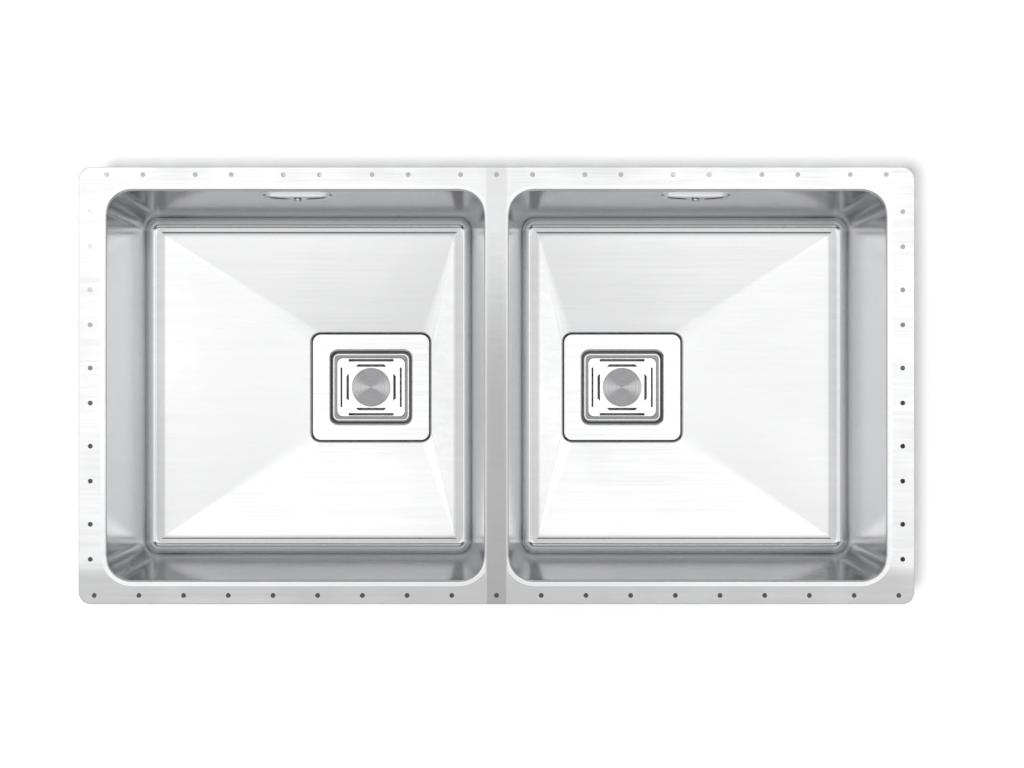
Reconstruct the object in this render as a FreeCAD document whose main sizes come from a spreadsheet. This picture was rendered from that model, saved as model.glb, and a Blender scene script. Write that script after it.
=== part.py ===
import FreeCAD, Part
import math
import os
import re
import Sketcher

# Double-bowl undermount kitchen sink, in millimetres.
# The origin is the middle of the deck's top face. +X runs to the right bowl, +Y to the
# rear, where the overflows are, and +Z up. The bowls hang below z = 0.

sizes = {
    # deck flange
    "deck_wide": 860,
    "deck_deep": 450,
    "deck_thick": 1.5,
    "deck_corner": 13,
    "deck_edge_round": 0.6,
    # holes round the flange
    "flange_hole": 2.5,
    "front_end": 16,
    "front_inset": 9,
    "rear_end": 66,
    "rear_gap": 37,
    "rear_inset": 8,
    "side_end": 46.2,
    "side_gap": 36,
    "side_inset": 12,
    "front_steps": 18,
    "rear_steps": 8,
    "pair_steps": 4,
    "side_steps": 4,
    # strips of the flange beside, before and behind the bowls, and between them
    "side_strip": 22.5,
    "front_strip": 18.5,
    "divider": 13,
    # bowls
    "bowl_drop": 188,
    "wall": 1.2,
    "opening_corner": 26,
    "floor_inset": 16,
    "floor_corner": 34,
    "floor_bend": 12,
    "floor_ledge": 5,
    "floor_fall": 8,
    "rim_roll": 2.5,
    "rim_land": 4,
    # drain recess in the floor
    "drain_inset": 126.5,
    "drain_forward": 2,
    "recess_step": 4,
    "recess_slope": 3,
    "plate_gap": 1,
    # waste flange
    "plate_wide": 127,
    "plate_deep": 115,
    "plate_corner": 8,
    "plate_thick": 1.5,
    "well_wide": 88,
    "well_deep": 78,
    "well_corner": 8,
    "well_roll": 3.5,
    "well_root": 1.4,
    "shelf_drop": 10,
    "shelf_land": 3.5,
    "basket_room": 27,
    "neck_bore": 23,
    "neck_long": 10,
    "hole_play": 1.8,
    # cross bars and screw seat in the neck
    "bar_wide": 4,
    "bar_thick": 2.5,
    "hub": 8,
    # gaskets
    "plate_gasket_thick": 1,
    "plate_gasket_inset": 1,
    "body_gasket_thick": 2.5,
    "body_gasket_inset": 1,
    "gasket_play": 1,
    # waste body
    "body_rim_wide": 116,
    "body_rim_deep": 106,
    "body_rim_thick": 5,
    "body_wall": 3,
    "cup_play": 1.8,
    "cup_gap": 3,
    "cup_floor": 3.5,
    "cup_bend": 8,
    "outlet_round": 23.9,
    "outlet_bore": 20,
    "outlet_long": 42,
    "outlet_lead": 1.5,
    "rib_wide": 3,
    "rib_tall": 16,
    "boss": 7,
    "boss_gap": 2,
    "port_rise": 20.7,
    "port_reach": 72,
    # clamp screw
    "screw_shank": 3,
    "screw_head": 6,
    "screw_head_tall": 2,
    "screw_long": 24,
    "screw_play": 0.3,
    "thread_play": 0.05,
    "drive_round": 1.7,
    "drive_drop": 1.2,
    "tip_share": 0.5,
    # strainer basket
    "sheet": 1,
    "rim_play": 0.8,
    "basket_play": 0.8,
    "seat_play": 0.2,
    "basket_hole": 1.8,
    "basket_pitch": 9,
    "basket_slot_wide": 3,
    "basket_slot_tall": 12,
    "basket_slot_pitch": 9,
    "basket_slot_round": 1.35,
    "hole_steps_x": 7,
    "hole_steps_y": 5,
    "slot_steps_x": 6,
    "slot_steps_y": 4,
    # knob and plug seal under the basket
    "knob_round": 4.5,
    "knob_head": 7.5,
    "knob_tall": 13,
    "knob_head_tall": 3,
    "knob_waist_share": 0.7,
    "knob_flare_share": 0.6,
    "stem_round": 2.4,
    "stem_play": 0.1,
    "seal_round": 27,
    "seal_thick": 3.2,
    "seal_lift": 0.3,
    "seal_cup_round": 20,
    "seal_cup_tall": 4,
    "seal_foot_share": 0.8,
    "rivet_round": 4.5,
    "rivet_tall": 1,
    # strainer lid
    "lid_play": 1.5,
    "lid_tall": 4.5,
    "lid_sheet": 1.2,
    "bead_wide": 1.7,
    "groove_wide": 2.8,
    "groove_drop": 1.6,
    "field_drop": 0.3,
    "field_round_share": 0.7,
    "slot_corner": 0.8,
    "outer_slot_long": 50,
    "outer_slot_wide": 2.8,
    "outer_slot_back": 30,
    "side_slot_long": 44,
    "side_slot_wide": 2,
    "side_slot_out": 33,
    "inner_slot_long": 34,
    "inner_slot_wide": 2.8,
    "inner_slot_back": 24.2,
    "inner_side_long": 30,
    "inner_side_wide": 2.8,
    "inner_side_out": 26,
    "slot_mitre": 2.6,
    "disc_round": 21.5,
    "disc_thick": 1,
    "disc_seat": 0.5,
    "disc_dish": 0.3,
    "disc_edge": 1.2,
    "disc_play": 0.1,
    # overflow cover
    "overflow_mid": 30,
    "trim_wide": 72,
    "trim_tall": 22,
    "trim_proud": 3.5,
    "trim_edge": 0.9,
    "trim_corner": 10,
    "trim_slot_long": 20,
    "trim_slot_tall": 7,
    "trim_slot_out": 19,
    "trim_slot_corner": 3.15,
    "overflow_hole_wide": 60,
    "overflow_hole_tall": 14,
    "overflow_hole_corner": 6,
    # overflow housing behind the wall
    "housing_gasket_thick": 1.5,
    "housing_wide": 72,
    "housing_tall": 34,
    "housing_deep": 21,
    "housing_corner": 5,
    "housing_wall": 2.5,
    "housing_rim": 6,
    "cover_boss": 4,
    "cover_screw": 2,
    "cover_screw_long": 18,
    "cover_head": 4,
    "cover_head_tall": 1.6,
    "cover_face_share": 0.8,
    "cover_edge_share": 0.4,
    "cover_drive_share": 0.6,
    "pilot_share": 0.75,
    "cover_play": 0.6,
    # overflow pipe and its push-fit sockets
    "pipe_round": 8,
    "pipe_bore": 6.7,
    "socket_round": 10.5,
    "socket_inset": 1,
    "socket_long": 18,
    "socket_depth": 14,
    "socket_play": 0.2,
    "pipe_play": 1,
    "ring_groove": 9.6,
    "ring_groove_long": 3,
    "ring_inset": 4,
    "ring_play": 0.15,
    "ring_inner_play": 0.05,
    "pipe_bend": 24,
    "port_run": 34,
    "port_bend": 30,
    # sound-deadening pads
    "pad_thick": 2.5,
    "front_pad_inset": 79,
    "side_pad_inset": 85,
    "pad_top": 40,
    "pad_foot": 44,
    "pad_corner": 8,
    # a cut starts this far outside the face that it opens
    "overrun": 2,
}

# Sizes that follow from the ones above, as formulas in the same sheet
derived = {
    "front_pitch": "(deck_wide - 2 * front_end) / front_steps",
    "rear_pitch": "(deck_wide - 2 * rear_end) / rear_steps",
    "side_pitch": "(deck_deep - 2 * side_end - side_gap) / side_steps",
    "bowl_wide": "(deck_wide - 2 * side_strip - divider) / 2 - 2 * (rim_roll + rim_land)",
    "bowl_deep": "deck_deep - 2 * front_strip - 2 * (rim_roll + rim_land)",
    "bowl_spacing": "bowl_wide + 2 * (rim_roll + rim_land) + divider",
    "drain_offset": "bowl_wide / 2 - drain_inset",
    "pad_tall": "bowl_drop - pad_top - pad_foot",
    "pad_mid": "pad_top + pad_tall / 2",
}

doc = FreeCAD.newDocument("DoubleBowlSink")
sheet = doc.addObject("Spreadsheet::Sheet", "Sizes")
cells = [(alias, str(number)) for alias, number in sizes.items()]
cells += [(alias, f"={formula}") for alias, formula in derived.items()]
for row, (alias, content) in enumerate(cells, start=1):
    sheet.set(f"A{row}", alias)
    sheet.setAlias(f"B{row}", alias)
    sheet.set(f"B{row}", content)
doc.recompute()
aliases = {alias for alias, _ in cells}

parts = []
V = FreeCAD.Vector
X_AXIS = V(1, 0, 0)
Y_AXIS = V(0, 1, 0)
level_slack = 1e-4

# Levels and derived sizes, as expressions in the sheet's aliases
fall_level = "(-bowl_drop - floor_fall)"
recess_level = f"({fall_level} - recess_step)"
plate_under = f"({recess_level} + plate_gasket_thick)"
plate_level = f"({plate_under} + plate_thick)"
shelf_level = f"({plate_level} - shelf_drop)"
well_floor = f"({shelf_level} - basket_room)"
neck_end = f"({well_floor} - wall - neck_long)"
hub_level = f"({neck_end} + bar_thick)"
body_level = f"({recess_level} - wall - body_gasket_thick)"
cup_level = f"({neck_end} - cup_gap)"
cup_under = f"({cup_level} - cup_floor)"
outlet_end = f"({cup_under} - outlet_long)"
port_level = f"({cup_level} + port_rise)"
basket_rim = f"({shelf_level} + seat_play)"
basket_floor = f"({well_floor} + seal_lift + seal_thick)"
lid_foot = f"({basket_rim} + sheet + seat_play)"
lid_level = f"({lid_foot} + lid_tall)"
field_level = f"({lid_level} - field_drop)"
lean = "(floor_inset / bowl_drop)"
lean_angle = "atan(floor_inset / bowl_drop)"
wall_run = f"((wall + housing_gasket_thick) / cos({lean_angle}))"
housing_back = "(wall + housing_gasket_thick + housing_deep)"
housing_top = "(housing_tall / 2 - overflow_mid)"
housing_foot = "(-housing_tall / 2 - overflow_mid)"
pipe_line = f"({housing_back} - socket_round - socket_inset)"
lower_wide = "(well_wide - 2 * shelf_land)"
lower_deep = "(well_deep - 2 * shelf_land)"
lower_corner = "(well_corner - shelf_land / 2)"


def bound(expression):
    """An expression with each alias pointed at the sheet."""
    return re.sub(r"[a-z_]\w*", lambda word: f"Sizes.{word[0]}" if word[0] in aliases else word[0], expression)


def value(expression):
    number = sheet.evalExpression(expression)
    return float(getattr(number, "Value", number))


def bind(thing, path, expression):
    if expression != "0":
        thing.setExpression(path, bound(expression))


def new_body(label, x="0", y="0", z="0", turn=None):
    body = doc.addObject("PartDesign::Body", label)
    body.Label = label
    if turn:
        axis, angle = turn
        body.Placement = FreeCAD.Placement(V(), FreeCAD.Rotation(axis, angle))
    for path, expression in (("x", x), ("y", y), ("z", z)):
        bind(body, f"Placement.Base.{path}", expression)
    parts.append(body)
    return body


def origin_part(body, role):
    return next(item for item in body.Origin.OriginFeatures if item.Role == role)


def sketch_on(body, name, lift="0", across="0", along="0", plane="XY_Plane"):
    """A sketch on an origin plane, lifted along the plane's normal and shifted in it."""
    sketch = body.newObject("Sketcher::SketchObject", name)
    sketch.AttachmentSupport = [(origin_part(body, plane), "")]
    sketch.MapMode = "FlatFace"
    bind(sketch, "AttachmentOffset.Base.x", across)
    bind(sketch, "AttachmentOffset.Base.y", along)
    bind(sketch, "AttachmentOffset.Base.z", lift)
    return sketch


def dimension(sketch, expression, kind, *args):
    number = value(expression)
    index = sketch.addConstraint(Sketcher.Constraint(kind, *args, number))
    sketch.setExpression(f"Constraints[{index}]", bound(expression))


def fix_point(sketch, shape, end, x, y):
    """Ties one end of a sketch shape to its place from the sketch's origin."""
    for expression, kind, axis in ((x, "DistanceX", -2), (y, "DistanceY", -1)):
        number = value(expression)
        if abs(number) < level_slack:
            sketch.addConstraint(Sketcher.Constraint("PointOnObject", shape, end, axis))
        elif number > 0:
            dimension(sketch, expression, kind, -1, 1, shape, end)
        else:
            dimension(sketch, f"-({expression})", kind, shape, end, -1, 1)


def rounded(sketch, wide, deep, corner):
    """A rectangle with round corners, centred on the sketch's origin."""
    w = value(wide) / 2
    d = value(deep) / 2
    r = value(corner)
    ends = [
        (V(r - w, -d), V(w - r, -d)),
        (V(w, r - d), V(w, d - r)),
        (V(w - r, d), V(r - w, d)),
        (V(-w, d - r), V(-w, r - d)),
    ]
    centres = [V(w - r, r - d), V(w - r, d - r), V(r - w, d - r), V(r - w, r - d)]
    lines = []
    arcs = []
    for quarter, ((start, end), centre) in enumerate(zip(ends, centres)):
        lines.append(sketch.addGeometry(Part.LineSegment(start, end)))
        first = math.radians(quarter * 90 - 90)
        circle = Part.Circle(centre, V(0, 0, 1), r)
        arcs.append(sketch.addGeometry(Part.ArcOfCircle(circle, first, first + math.pi / 2)))
    for quarter in range(4):
        following = lines[(quarter + 1) % 4]
        sketch.addConstraint(Sketcher.Constraint("Tangent", lines[quarter], 2, arcs[quarter], 1))
        sketch.addConstraint(Sketcher.Constraint("Tangent", arcs[quarter], 2, following, 1))
    sketch.addConstraint(Sketcher.Constraint("Horizontal", lines[0]))
    sketch.addConstraint(Sketcher.Constraint("Vertical", lines[1]))
    sketch.addConstraint(Sketcher.Constraint("Horizontal", lines[2]))
    sketch.addConstraint(Sketcher.Constraint("Vertical", lines[3]))
    for arc in arcs[1:]:
        sketch.addConstraint(Sketcher.Constraint("Equal", arcs[0], arc))
    sketch.addConstraint(Sketcher.Constraint("Symmetric", arcs[1], 3, arcs[3], 3, -1, 1))
    dimension(sketch, corner, "Radius", arcs[0])
    dimension(sketch, wide, "DistanceX", lines[3], 1, lines[1], 1)
    dimension(sketch, deep, "DistanceY", lines[0], 1, lines[2], 1)


def outline(sketch, points):
    """A closed run of straight lines through points given as pairs of expressions."""
    places = [V(value(x), value(y)) for x, y in points]
    lines = []
    for index, place in enumerate(places):
        lines.append(sketch.addGeometry(Part.LineSegment(place, places[(index + 1) % len(places)])))
    for index, line in enumerate(lines):
        sketch.addConstraint(Sketcher.Constraint("Coincident", line, 2, lines[(index + 1) % len(lines)], 1))
    for line, (x, y) in zip(lines, points):
        fix_point(sketch, line, 1, x, y)


def box_outline(sketch, wide, deep):
    outline(sketch, [(f"-({wide}) / 2", f"-({deep}) / 2"), (f"({wide}) / 2", f"-({deep}) / 2"),
                     (f"({wide}) / 2", f"({deep}) / 2"), (f"-({wide}) / 2", f"({deep}) / 2")])


def circle(sketch, radius, x="0", y="0"):
    shape = sketch.addGeometry(Part.Circle(V(value(x), value(y)), V(0, 0, 1), value(radius)))
    dimension(sketch, radius, "Radius", shape)
    fix_point(sketch, shape, 3, x, y)


def grow(body, name, sketch, length, kind="PartDesign::Pad", back=False, both=False):
    """A pad, or with cut() a pocket, from a sketch of the same body."""
    feature = body.newObject(kind, name)
    feature.Profile = sketch
    bind(feature, "Length", length)
    feature.Reversed = back
    feature.Midplane = both
    return feature


def cut(body, name, sketch, length, back=False, both=False):
    """A pocket. It cuts against the sketch's normal, or with back=True along it."""
    doc.recompute()
    before = body.Tip.Shape.Volume
    feature = grow(body, name, sketch, length, "PartDesign::Pocket", back, both)
    doc.recompute()
    if feature.Shape.Volume >= before:
        raise RuntimeError(f"{body.Label}: {name} cuts nothing")
    return feature


def loft(body, name, low, high):
    feature = body.newObject("PartDesign::AdditiveLoft", name)
    feature.Profile = low
    feature.Sections = [high]
    feature.Ruled = True
    return feature


def spin(body, name, sketch, axis="Z_Axis"):
    feature = body.newObject("PartDesign::Revolution", name)
    feature.Profile = sketch
    feature.ReferenceAxis = (origin_part(body, axis), [""])
    feature.Angle = 360
    return feature


def repeat(body, name, features, axis, steps, pitch):
    """The features again along an origin axis, a number of steps at a pitch."""
    doc.recompute()
    feature = body.newObject("PartDesign::LinearPattern", name)
    feature.Originals = features
    feature.Direction = (origin_part(body, axis), [""])
    bind(feature, "Length", f"{steps} * {pitch}")
    bind(feature, "Occurrences", f"{steps} + 1")
    body.Tip = feature
    return feature


def dress_edges(body, name, kind, chosen):
    """A fillet or chamfer on the edges of the body's tip that the test chooses."""
    doc.recompute()
    base = body.Tip
    names = [f"Edge{index}" for index, edge in enumerate(base.Shape.Edges, start=1) if chosen(edge)]
    feature = body.newObject(kind, name)
    feature.Base = (base, names)
    body.Tip = feature
    return feature


def round_edges(body, name, radius, chosen):
    bind(dress_edges(body, name, "PartDesign::Fillet", chosen), "Radius", radius)
    doc.recompute()


def bevel_edges(body, name, size, chosen):
    bind(dress_edges(body, name, "PartDesign::Chamfer", chosen), "Size", size)
    doc.recompute()


def at_level(z, wide=None, deep=None):
    """Chooses the level edges at z, those inside the given width and depth if there are any."""
    height = value(z)
    reach_x = value(wide) / 2 if wide else math.inf
    reach_y = value(deep) / 2 if deep else math.inf

    def chosen(edge):
        box = edge.BoundBox
        if abs(box.ZMin - height) > level_slack or abs(box.ZMax - height) > level_slack:
            return False
        return max(-box.XMin, box.XMax) < reach_x and max(-box.YMin, box.YMax) < reach_y
    return chosen


def make_deck():
    body = new_body("deck_flange")
    plate = sketch_on(body, "DeckOutline", lift="-deck_thick")
    rounded(plate, "deck_wide", "deck_deep", "deck_corner")
    grow(body, "DeckPlate", plate, "deck_thick")
    round_edges(body, "DeckEdge", "deck_edge_round", at_level("0"))
    for name, side in sides:
        opening = sketch_on(body, f"Opening_{name}", across=f"{side} * bowl_spacing / 2")
        rounded(opening, "bowl_wide + 2 * (rim_roll + rim_land)", "bowl_deep + 2 * (rim_roll + rim_land)",
                "opening_corner + rim_roll + rim_land")
        cut(body, f"OpeningCut_{name}", opening, "deck_thick")
    front = "front_inset - deck_deep / 2"
    rear = "deck_deep / 2 - rear_inset"
    right = "deck_wide / 2 - side_inset"
    left = "side_inset - deck_wide / 2"
    low_pair = ["-side_steps / 2 * side_pitch - side_gap / 2", "-side_steps / 2 * side_pitch + side_gap / 2"]
    rows = [
        # name, places of the first holes, axis, steps, pitch
        ("Front", [("-front_steps / 2 * front_pitch", front)], "X_Axis", "front_steps", "front_pitch"),
        ("Rear", [("-rear_steps / 2 * rear_pitch", rear)], "X_Axis", "rear_steps", "rear_pitch"),
        ("RearPair", [("rear_gap", rear), ("-rear_gap - pair_steps * rear_pitch", rear)], "X_Axis", "pair_steps",
         "rear_pitch"),
        ("Side", [(x, y) for x in (right, left) for y in low_pair], "Y_Axis", "side_steps", "side_pitch"),
    ]
    for name, places, axis, steps, pitch in rows:
        holes = sketch_on(body, f"{name}Holes")
        for x, y in places:
            circle(holes, "flange_hole", x, y)
        repeat(body, f"{name}Row", [cut(body, f"{name}Cut", holes, "deck_thick")], axis, steps, pitch)


def tub(body, side, drop):
    """Leaning walls, a bend, a ledge, four creased floor planes and the drain recess, grown by drop."""
    towards = f"{-side} * drain_offset"
    spread = f"2 * {drop}"
    shift = f"2 * floor_inset * (bowl_drop + {drop}) / bowl_drop"
    top = sketch_on(body, "WallTop")
    rounded(top, f"bowl_wide + {spread}", f"bowl_deep + {spread}", f"opening_corner + {drop}")
    foot = sketch_on(body, "WallFoot", lift=f"-bowl_drop - {drop}")
    rounded(foot, f"bowl_wide + {spread} - {shift}", f"bowl_deep + {spread} - {shift}", f"floor_corner + {drop}")
    loft(body, "Walls", top, foot)
    round_edges(body, "Bend", f"floor_bend + {drop}", at_level(f"-bowl_drop - {drop}"))
    floor_top = sketch_on(body, "FloorTop", lift=f"-bowl_drop - {drop}")
    edge = "2 * (floor_inset + floor_bend + floor_ledge)"
    box_outline(floor_top, f"bowl_wide - {edge}", f"bowl_deep - {edge}")
    floor_low = sketch_on(body, "FloorLow", lift=f"{fall_level} - {drop}", across=towards, along="-drain_forward")
    step_wide = "(plate_wide + 2 * plate_gap + 2 * recess_slope)"
    step_deep = "(plate_deep + 2 * plate_gap + 2 * recess_slope)"
    box_outline(floor_low, step_wide, step_deep)
    loft(body, "Floor", floor_top, floor_low)
    step_top = sketch_on(body, "StepTop", lift=fall_level, across=towards, along="-drain_forward")
    rounded(step_top, f"{step_wide} + {spread}", f"{step_deep} + {spread}",
            f"plate_corner + plate_gap + recess_slope + {drop}")
    step_low = sketch_on(body, "StepLow", lift=f"{recess_level} - {drop}", across=towards, along="-drain_forward")
    rounded(step_low, f"plate_wide + 2 * plate_gap + {spread}", f"plate_deep + 2 * plate_gap + {spread}",
            f"plate_corner + plate_gap + {drop}")
    loft(body, "Step", step_top, step_low)
    doc.recompute()


def make_bowl(name, side):
    """A pressed bowl: the sheet between an outer and an inner tub, with a land that meets the deck."""
    body = new_body(f"bowl_{name}", x=f"{side} * bowl_spacing / 2")
    tub(body, side, "wall")
    land = sketch_on(body, "RimLand")
    rounded(land, "bowl_wide + 2 * (rim_roll + rim_land)", "bowl_deep + 2 * (rim_roll + rim_land)",
            "opening_corner + rim_roll + rim_land")
    grow(body, "Land", land, "deck_thick", back=True)
    cavity = doc.addObject("PartDesign::Body", f"cavity_{name}")
    tub(cavity, side, "0")
    hollow = body.newObject("PartDesign::Boolean", "Hollow")
    hollow.Type = "Cut"
    hollow.Group = [cavity]
    body.Tip = hollow
    round_edges(body, "RimRoll", "rim_roll", at_level("0", "bowl_wide + rim_roll", "bowl_deep + rim_roll"))
    towards = f"{-side} * drain_offset"
    hole = sketch_on(body, "WellHole", lift=f"{recess_level} + overrun", across=towards, along="-drain_forward")
    rounded(hole, "well_wide + 2 * (wall + hole_play)", "well_deep + 2 * (wall + hole_play)",
            "well_corner + wall + hole_play")
    cut(body, "WellCut", hole, "wall + 2 * overrun")
    slot = sketch_on(body, "OverflowHole", lift="overflow_hole_tall - bowl_deep / 2", along="-overflow_mid",
                     plane="XZ_Plane")
    rounded(slot, "overflow_hole_wide", "overflow_hole_tall", "overflow_hole_corner")
    cut(body, "OverflowCut", slot, "overflow_hole_tall + wall + overrun")


def make_pads(name, side):
    """Damping pads flat on the leaning outside of the front wall and of the outer side wall."""
    angle = value(lean_angle)
    centre = f"{side} * bowl_spacing / 2"
    front = new_body(f"front_pad_{name}", x=centre, y="-bowl_deep / 2 - wall", turn=(X_AXIS, angle))
    mat = sketch_on(front, "Mat", along="-pad_mid", plane="XZ_Plane")
    rounded(mat, "bowl_wide - 2 * front_pad_inset", "pad_tall", "pad_corner")
    grow(front, "MatPad", mat, "pad_thick")
    outer = new_body(f"side_pad_{name}", x=f"{centre} + {side} * (bowl_wide / 2 + wall)",
                     turn=(Y_AXIS, side * angle))
    mat = sketch_on(outer, "Mat", along="-pad_mid", plane="YZ_Plane")
    rounded(mat, "bowl_deep - 2 * side_pad_inset", "pad_tall", "pad_corner")
    grow(outer, "MatPad", mat, "pad_thick", back=side < 0)


def drain_body(label, side):
    return new_body(label, x=f"{side} * (bowl_spacing / 2 - drain_offset)", y="-drain_forward")


def make_waste_flange(name, side):
    """A square steel plate with a stepped well and a round neck that holds the screw seat."""
    body = drain_body(f"waste_flange_{name}", side)
    plate = sketch_on(body, "Plate", lift=plate_under)
    rounded(plate, "plate_wide", "plate_deep", "plate_corner")
    grow(body, "PlatePad", plate, "plate_thick")
    well = sketch_on(body, "Well", lift=plate_under)
    rounded(well, "well_wide + 2 * wall", "well_deep + 2 * wall", "well_corner + wall")
    grow(body, "WellPad", well, f"{plate_under} - {shelf_level} + wall", back=True)
    round_edges(body, "WellRoot", "well_root",
                at_level(plate_under, "well_wide + 3 * wall", "well_deep + 3 * wall"))
    lower = sketch_on(body, "Lower", lift=shelf_level)
    rounded(lower, f"{lower_wide} + 2 * wall", f"{lower_deep} + 2 * wall", f"{lower_corner} + wall")
    grow(body, "LowerPad", lower, f"{shelf_level} - {well_floor} + wall", back=True)
    neck = sketch_on(body, "Neck", lift=well_floor)
    circle(neck, "neck_bore + wall")
    grow(body, "NeckPad", neck, f"{well_floor} - {neck_end}", back=True)
    mouth = sketch_on(body, "Mouth", lift=plate_level)
    rounded(mouth, "well_wide", "well_deep", "well_corner")
    cut(body, "MouthCut", mouth, "shelf_drop")
    inner = sketch_on(body, "Inner", lift=shelf_level)
    rounded(inner, lower_wide, lower_deep, lower_corner)
    cut(body, "InnerCut", inner, "basket_room")
    bore = sketch_on(body, "Bore", lift=well_floor)
    circle(bore, "neck_bore")
    cut(body, "BoreCut", bore, f"{well_floor} - {neck_end}")
    round_edges(body, "MouthRoll", "well_roll", at_level(plate_level, "well_wide + wall", "well_deep + wall"))
    bars = [("X", "2 * neck_bore + wall", "bar_wide"), ("Y", "bar_wide", "2 * neck_bore + wall")]
    for turn, wide, deep in bars:
        bar = sketch_on(body, f"Bar{turn}", lift=neck_end)
        box_outline(bar, wide, deep)
        grow(body, f"Bar{turn}Pad", bar, "bar_thick")
    hub = sketch_on(body, "Hub", lift=neck_end)
    circle(hub, "hub")
    grow(body, "HubPad", hub, "bar_thick")
    seat = sketch_on(body, "ScrewSeat", plane="XZ_Plane")
    outline(seat, [("0", f"{hub_level} + overrun"), ("screw_head + screw_play", f"{hub_level} + overrun"),
                   ("screw_head + screw_play", hub_level),
                   ("screw_shank + screw_play", f"{hub_level} - screw_head_tall"),
                   ("screw_shank + screw_play", f"{neck_end} - overrun"), ("0", f"{neck_end} - overrun")])
    groove = body.newObject("PartDesign::Groove", "ScrewSeatCut")
    groove.Profile = seat
    groove.ReferenceAxis = (origin_part(body, "Z_Axis"), [""])
    groove.Angle = 360


def ring(label, side, low, thick, outside):
    """A flat gasket round the well, its outside given as width, depth and corner."""
    body = drain_body(label, side)
    frame = sketch_on(body, "Frame", lift=low)
    rounded(frame, *outside)
    spread = "(wall + hole_play + gasket_play)"
    rounded(frame, f"well_wide + 2 * {spread}", f"well_deep + 2 * {spread}", f"well_corner + {spread}")
    grow(body, "FramePad", frame, thick)


def make_gaskets(name, side):
    inset = "plate_gasket_inset"
    ring(f"flange_gasket_{name}", side, recess_level, "plate_gasket_thick",
         (f"plate_wide - 2 * {inset}", f"plate_deep - 2 * {inset}", f"plate_corner - {inset}"))
    inset = "body_gasket_inset"
    ring(f"body_gasket_{name}", side, body_level, "body_gasket_thick",
         (f"body_rim_wide - 2 * {inset}", f"body_rim_deep - 2 * {inset}", f"plate_corner - {inset}"))


def make_waste_body(name, side):
    """The moulded body under the floor: a square cup, an outlet below and an overflow port at the rear."""
    body = drain_body(f"waste_body_{name}", side)
    cup_wide = "(well_wide + 2 * (wall + cup_play))"
    cup_deep = "(well_deep + 2 * (wall + cup_play))"
    cup_corner = "(well_corner + wall + cup_play)"
    cup = sketch_on(body, "Cup", lift=body_level)
    rounded(cup, f"{cup_wide} + 2 * body_wall", f"{cup_deep} + 2 * body_wall", f"{cup_corner} + body_wall")
    grow(body, "CupPad", cup, f"{body_level} - {cup_under}", back=True)
    round_edges(body, "CupBend", "cup_bend", at_level(cup_under))
    rim = sketch_on(body, "Rim", lift=body_level)
    rounded(rim, "body_rim_wide", "body_rim_deep", "plate_corner")
    grow(body, "RimPad", rim, "body_rim_thick", back=True)
    outlet = sketch_on(body, "Outlet", lift=cup_under)
    circle(outlet, "outlet_round")
    grow(body, "OutletPad", outlet, "outlet_long", back=True)
    bevel_edges(body, "OutletLead", "outlet_lead", at_level(outlet_end))
    port = sketch_on(body, "Port", lift=f"-{cup_deep} / 2", along=port_level, plane="XZ_Plane")
    circle(port, "socket_round")
    grow(body, "PortPad", port, f"port_reach - {cup_deep} / 2", back=True)
    room = sketch_on(body, "Room", lift=body_level)
    rounded(room, cup_wide, cup_deep, cup_corner)
    cut(body, "RoomCut", room, f"{body_level} - {cup_level}")
    bore = sketch_on(body, "Bore", lift=cup_level)
    circle(bore, "outlet_bore")
    cut(body, "BoreCut", bore, "cup_floor + outlet_long")
    ribs = [("X", "2 * outlet_bore + body_wall", "rib_wide"), ("Y", "rib_wide", "2 * outlet_bore + body_wall")]
    for turn, wide, deep in ribs:
        rib = sketch_on(body, f"Rib{turn}", lift=cup_under)
        box_outline(rib, wide, deep)
        grow(body, f"Rib{turn}Pad", rib, "rib_tall", back=True)
    boss = sketch_on(body, "Boss", lift=f"{neck_end} - boss_gap")
    circle(boss, "boss")
    grow(body, "BossPad", boss, f"{neck_end} - boss_gap - {cup_under} + rib_tall", back=True)
    pilot = sketch_on(body, "Pilot", lift=f"{neck_end} - boss_gap")
    circle(pilot, "screw_shank + thread_play")
    cut(body, "PilotCut", pilot, "screw_long - bar_thick")
    reach = "-port_reach"
    for step, radius, start, length in (
            ("Way", "pipe_bore", reach, f"port_reach - {cup_deep} / 2 + body_wall"),
            ("Socket", "pipe_round + socket_play", reach, "socket_depth"),
            ("Groove", "ring_groove", f"{reach} + ring_inset", "ring_groove_long")):
        hole = sketch_on(body, f"Port{step}", lift=start, along=port_level, plane="XZ_Plane")
        circle(hole, radius)
        cut(body, f"Port{step}Cut", hole, length, back=True)


def turned(label, side, points, axis_plane="XZ_Plane"):
    """A round piece on the drain's axis, from half its section."""
    body = drain_body(label, side)
    section = sketch_on(body, "Section", plane=axis_plane)
    outline(section, points)
    spin(body, "Turn", section)
    return body


def make_clamp_screw(name, side):
    tip = f"{hub_level} - screw_long"
    turned(f"clamp_screw_{name}", side, [
        ("0", f"{hub_level} - drive_drop"), ("drive_round", f"{hub_level} - drive_drop"), ("drive_round", hub_level),
        ("screw_head", hub_level), ("screw_shank", f"{hub_level} - screw_head_tall"),
        ("screw_shank", f"{tip} + screw_shank * tip_share"), ("screw_shank * tip_share", tip), ("0", tip)])


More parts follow.
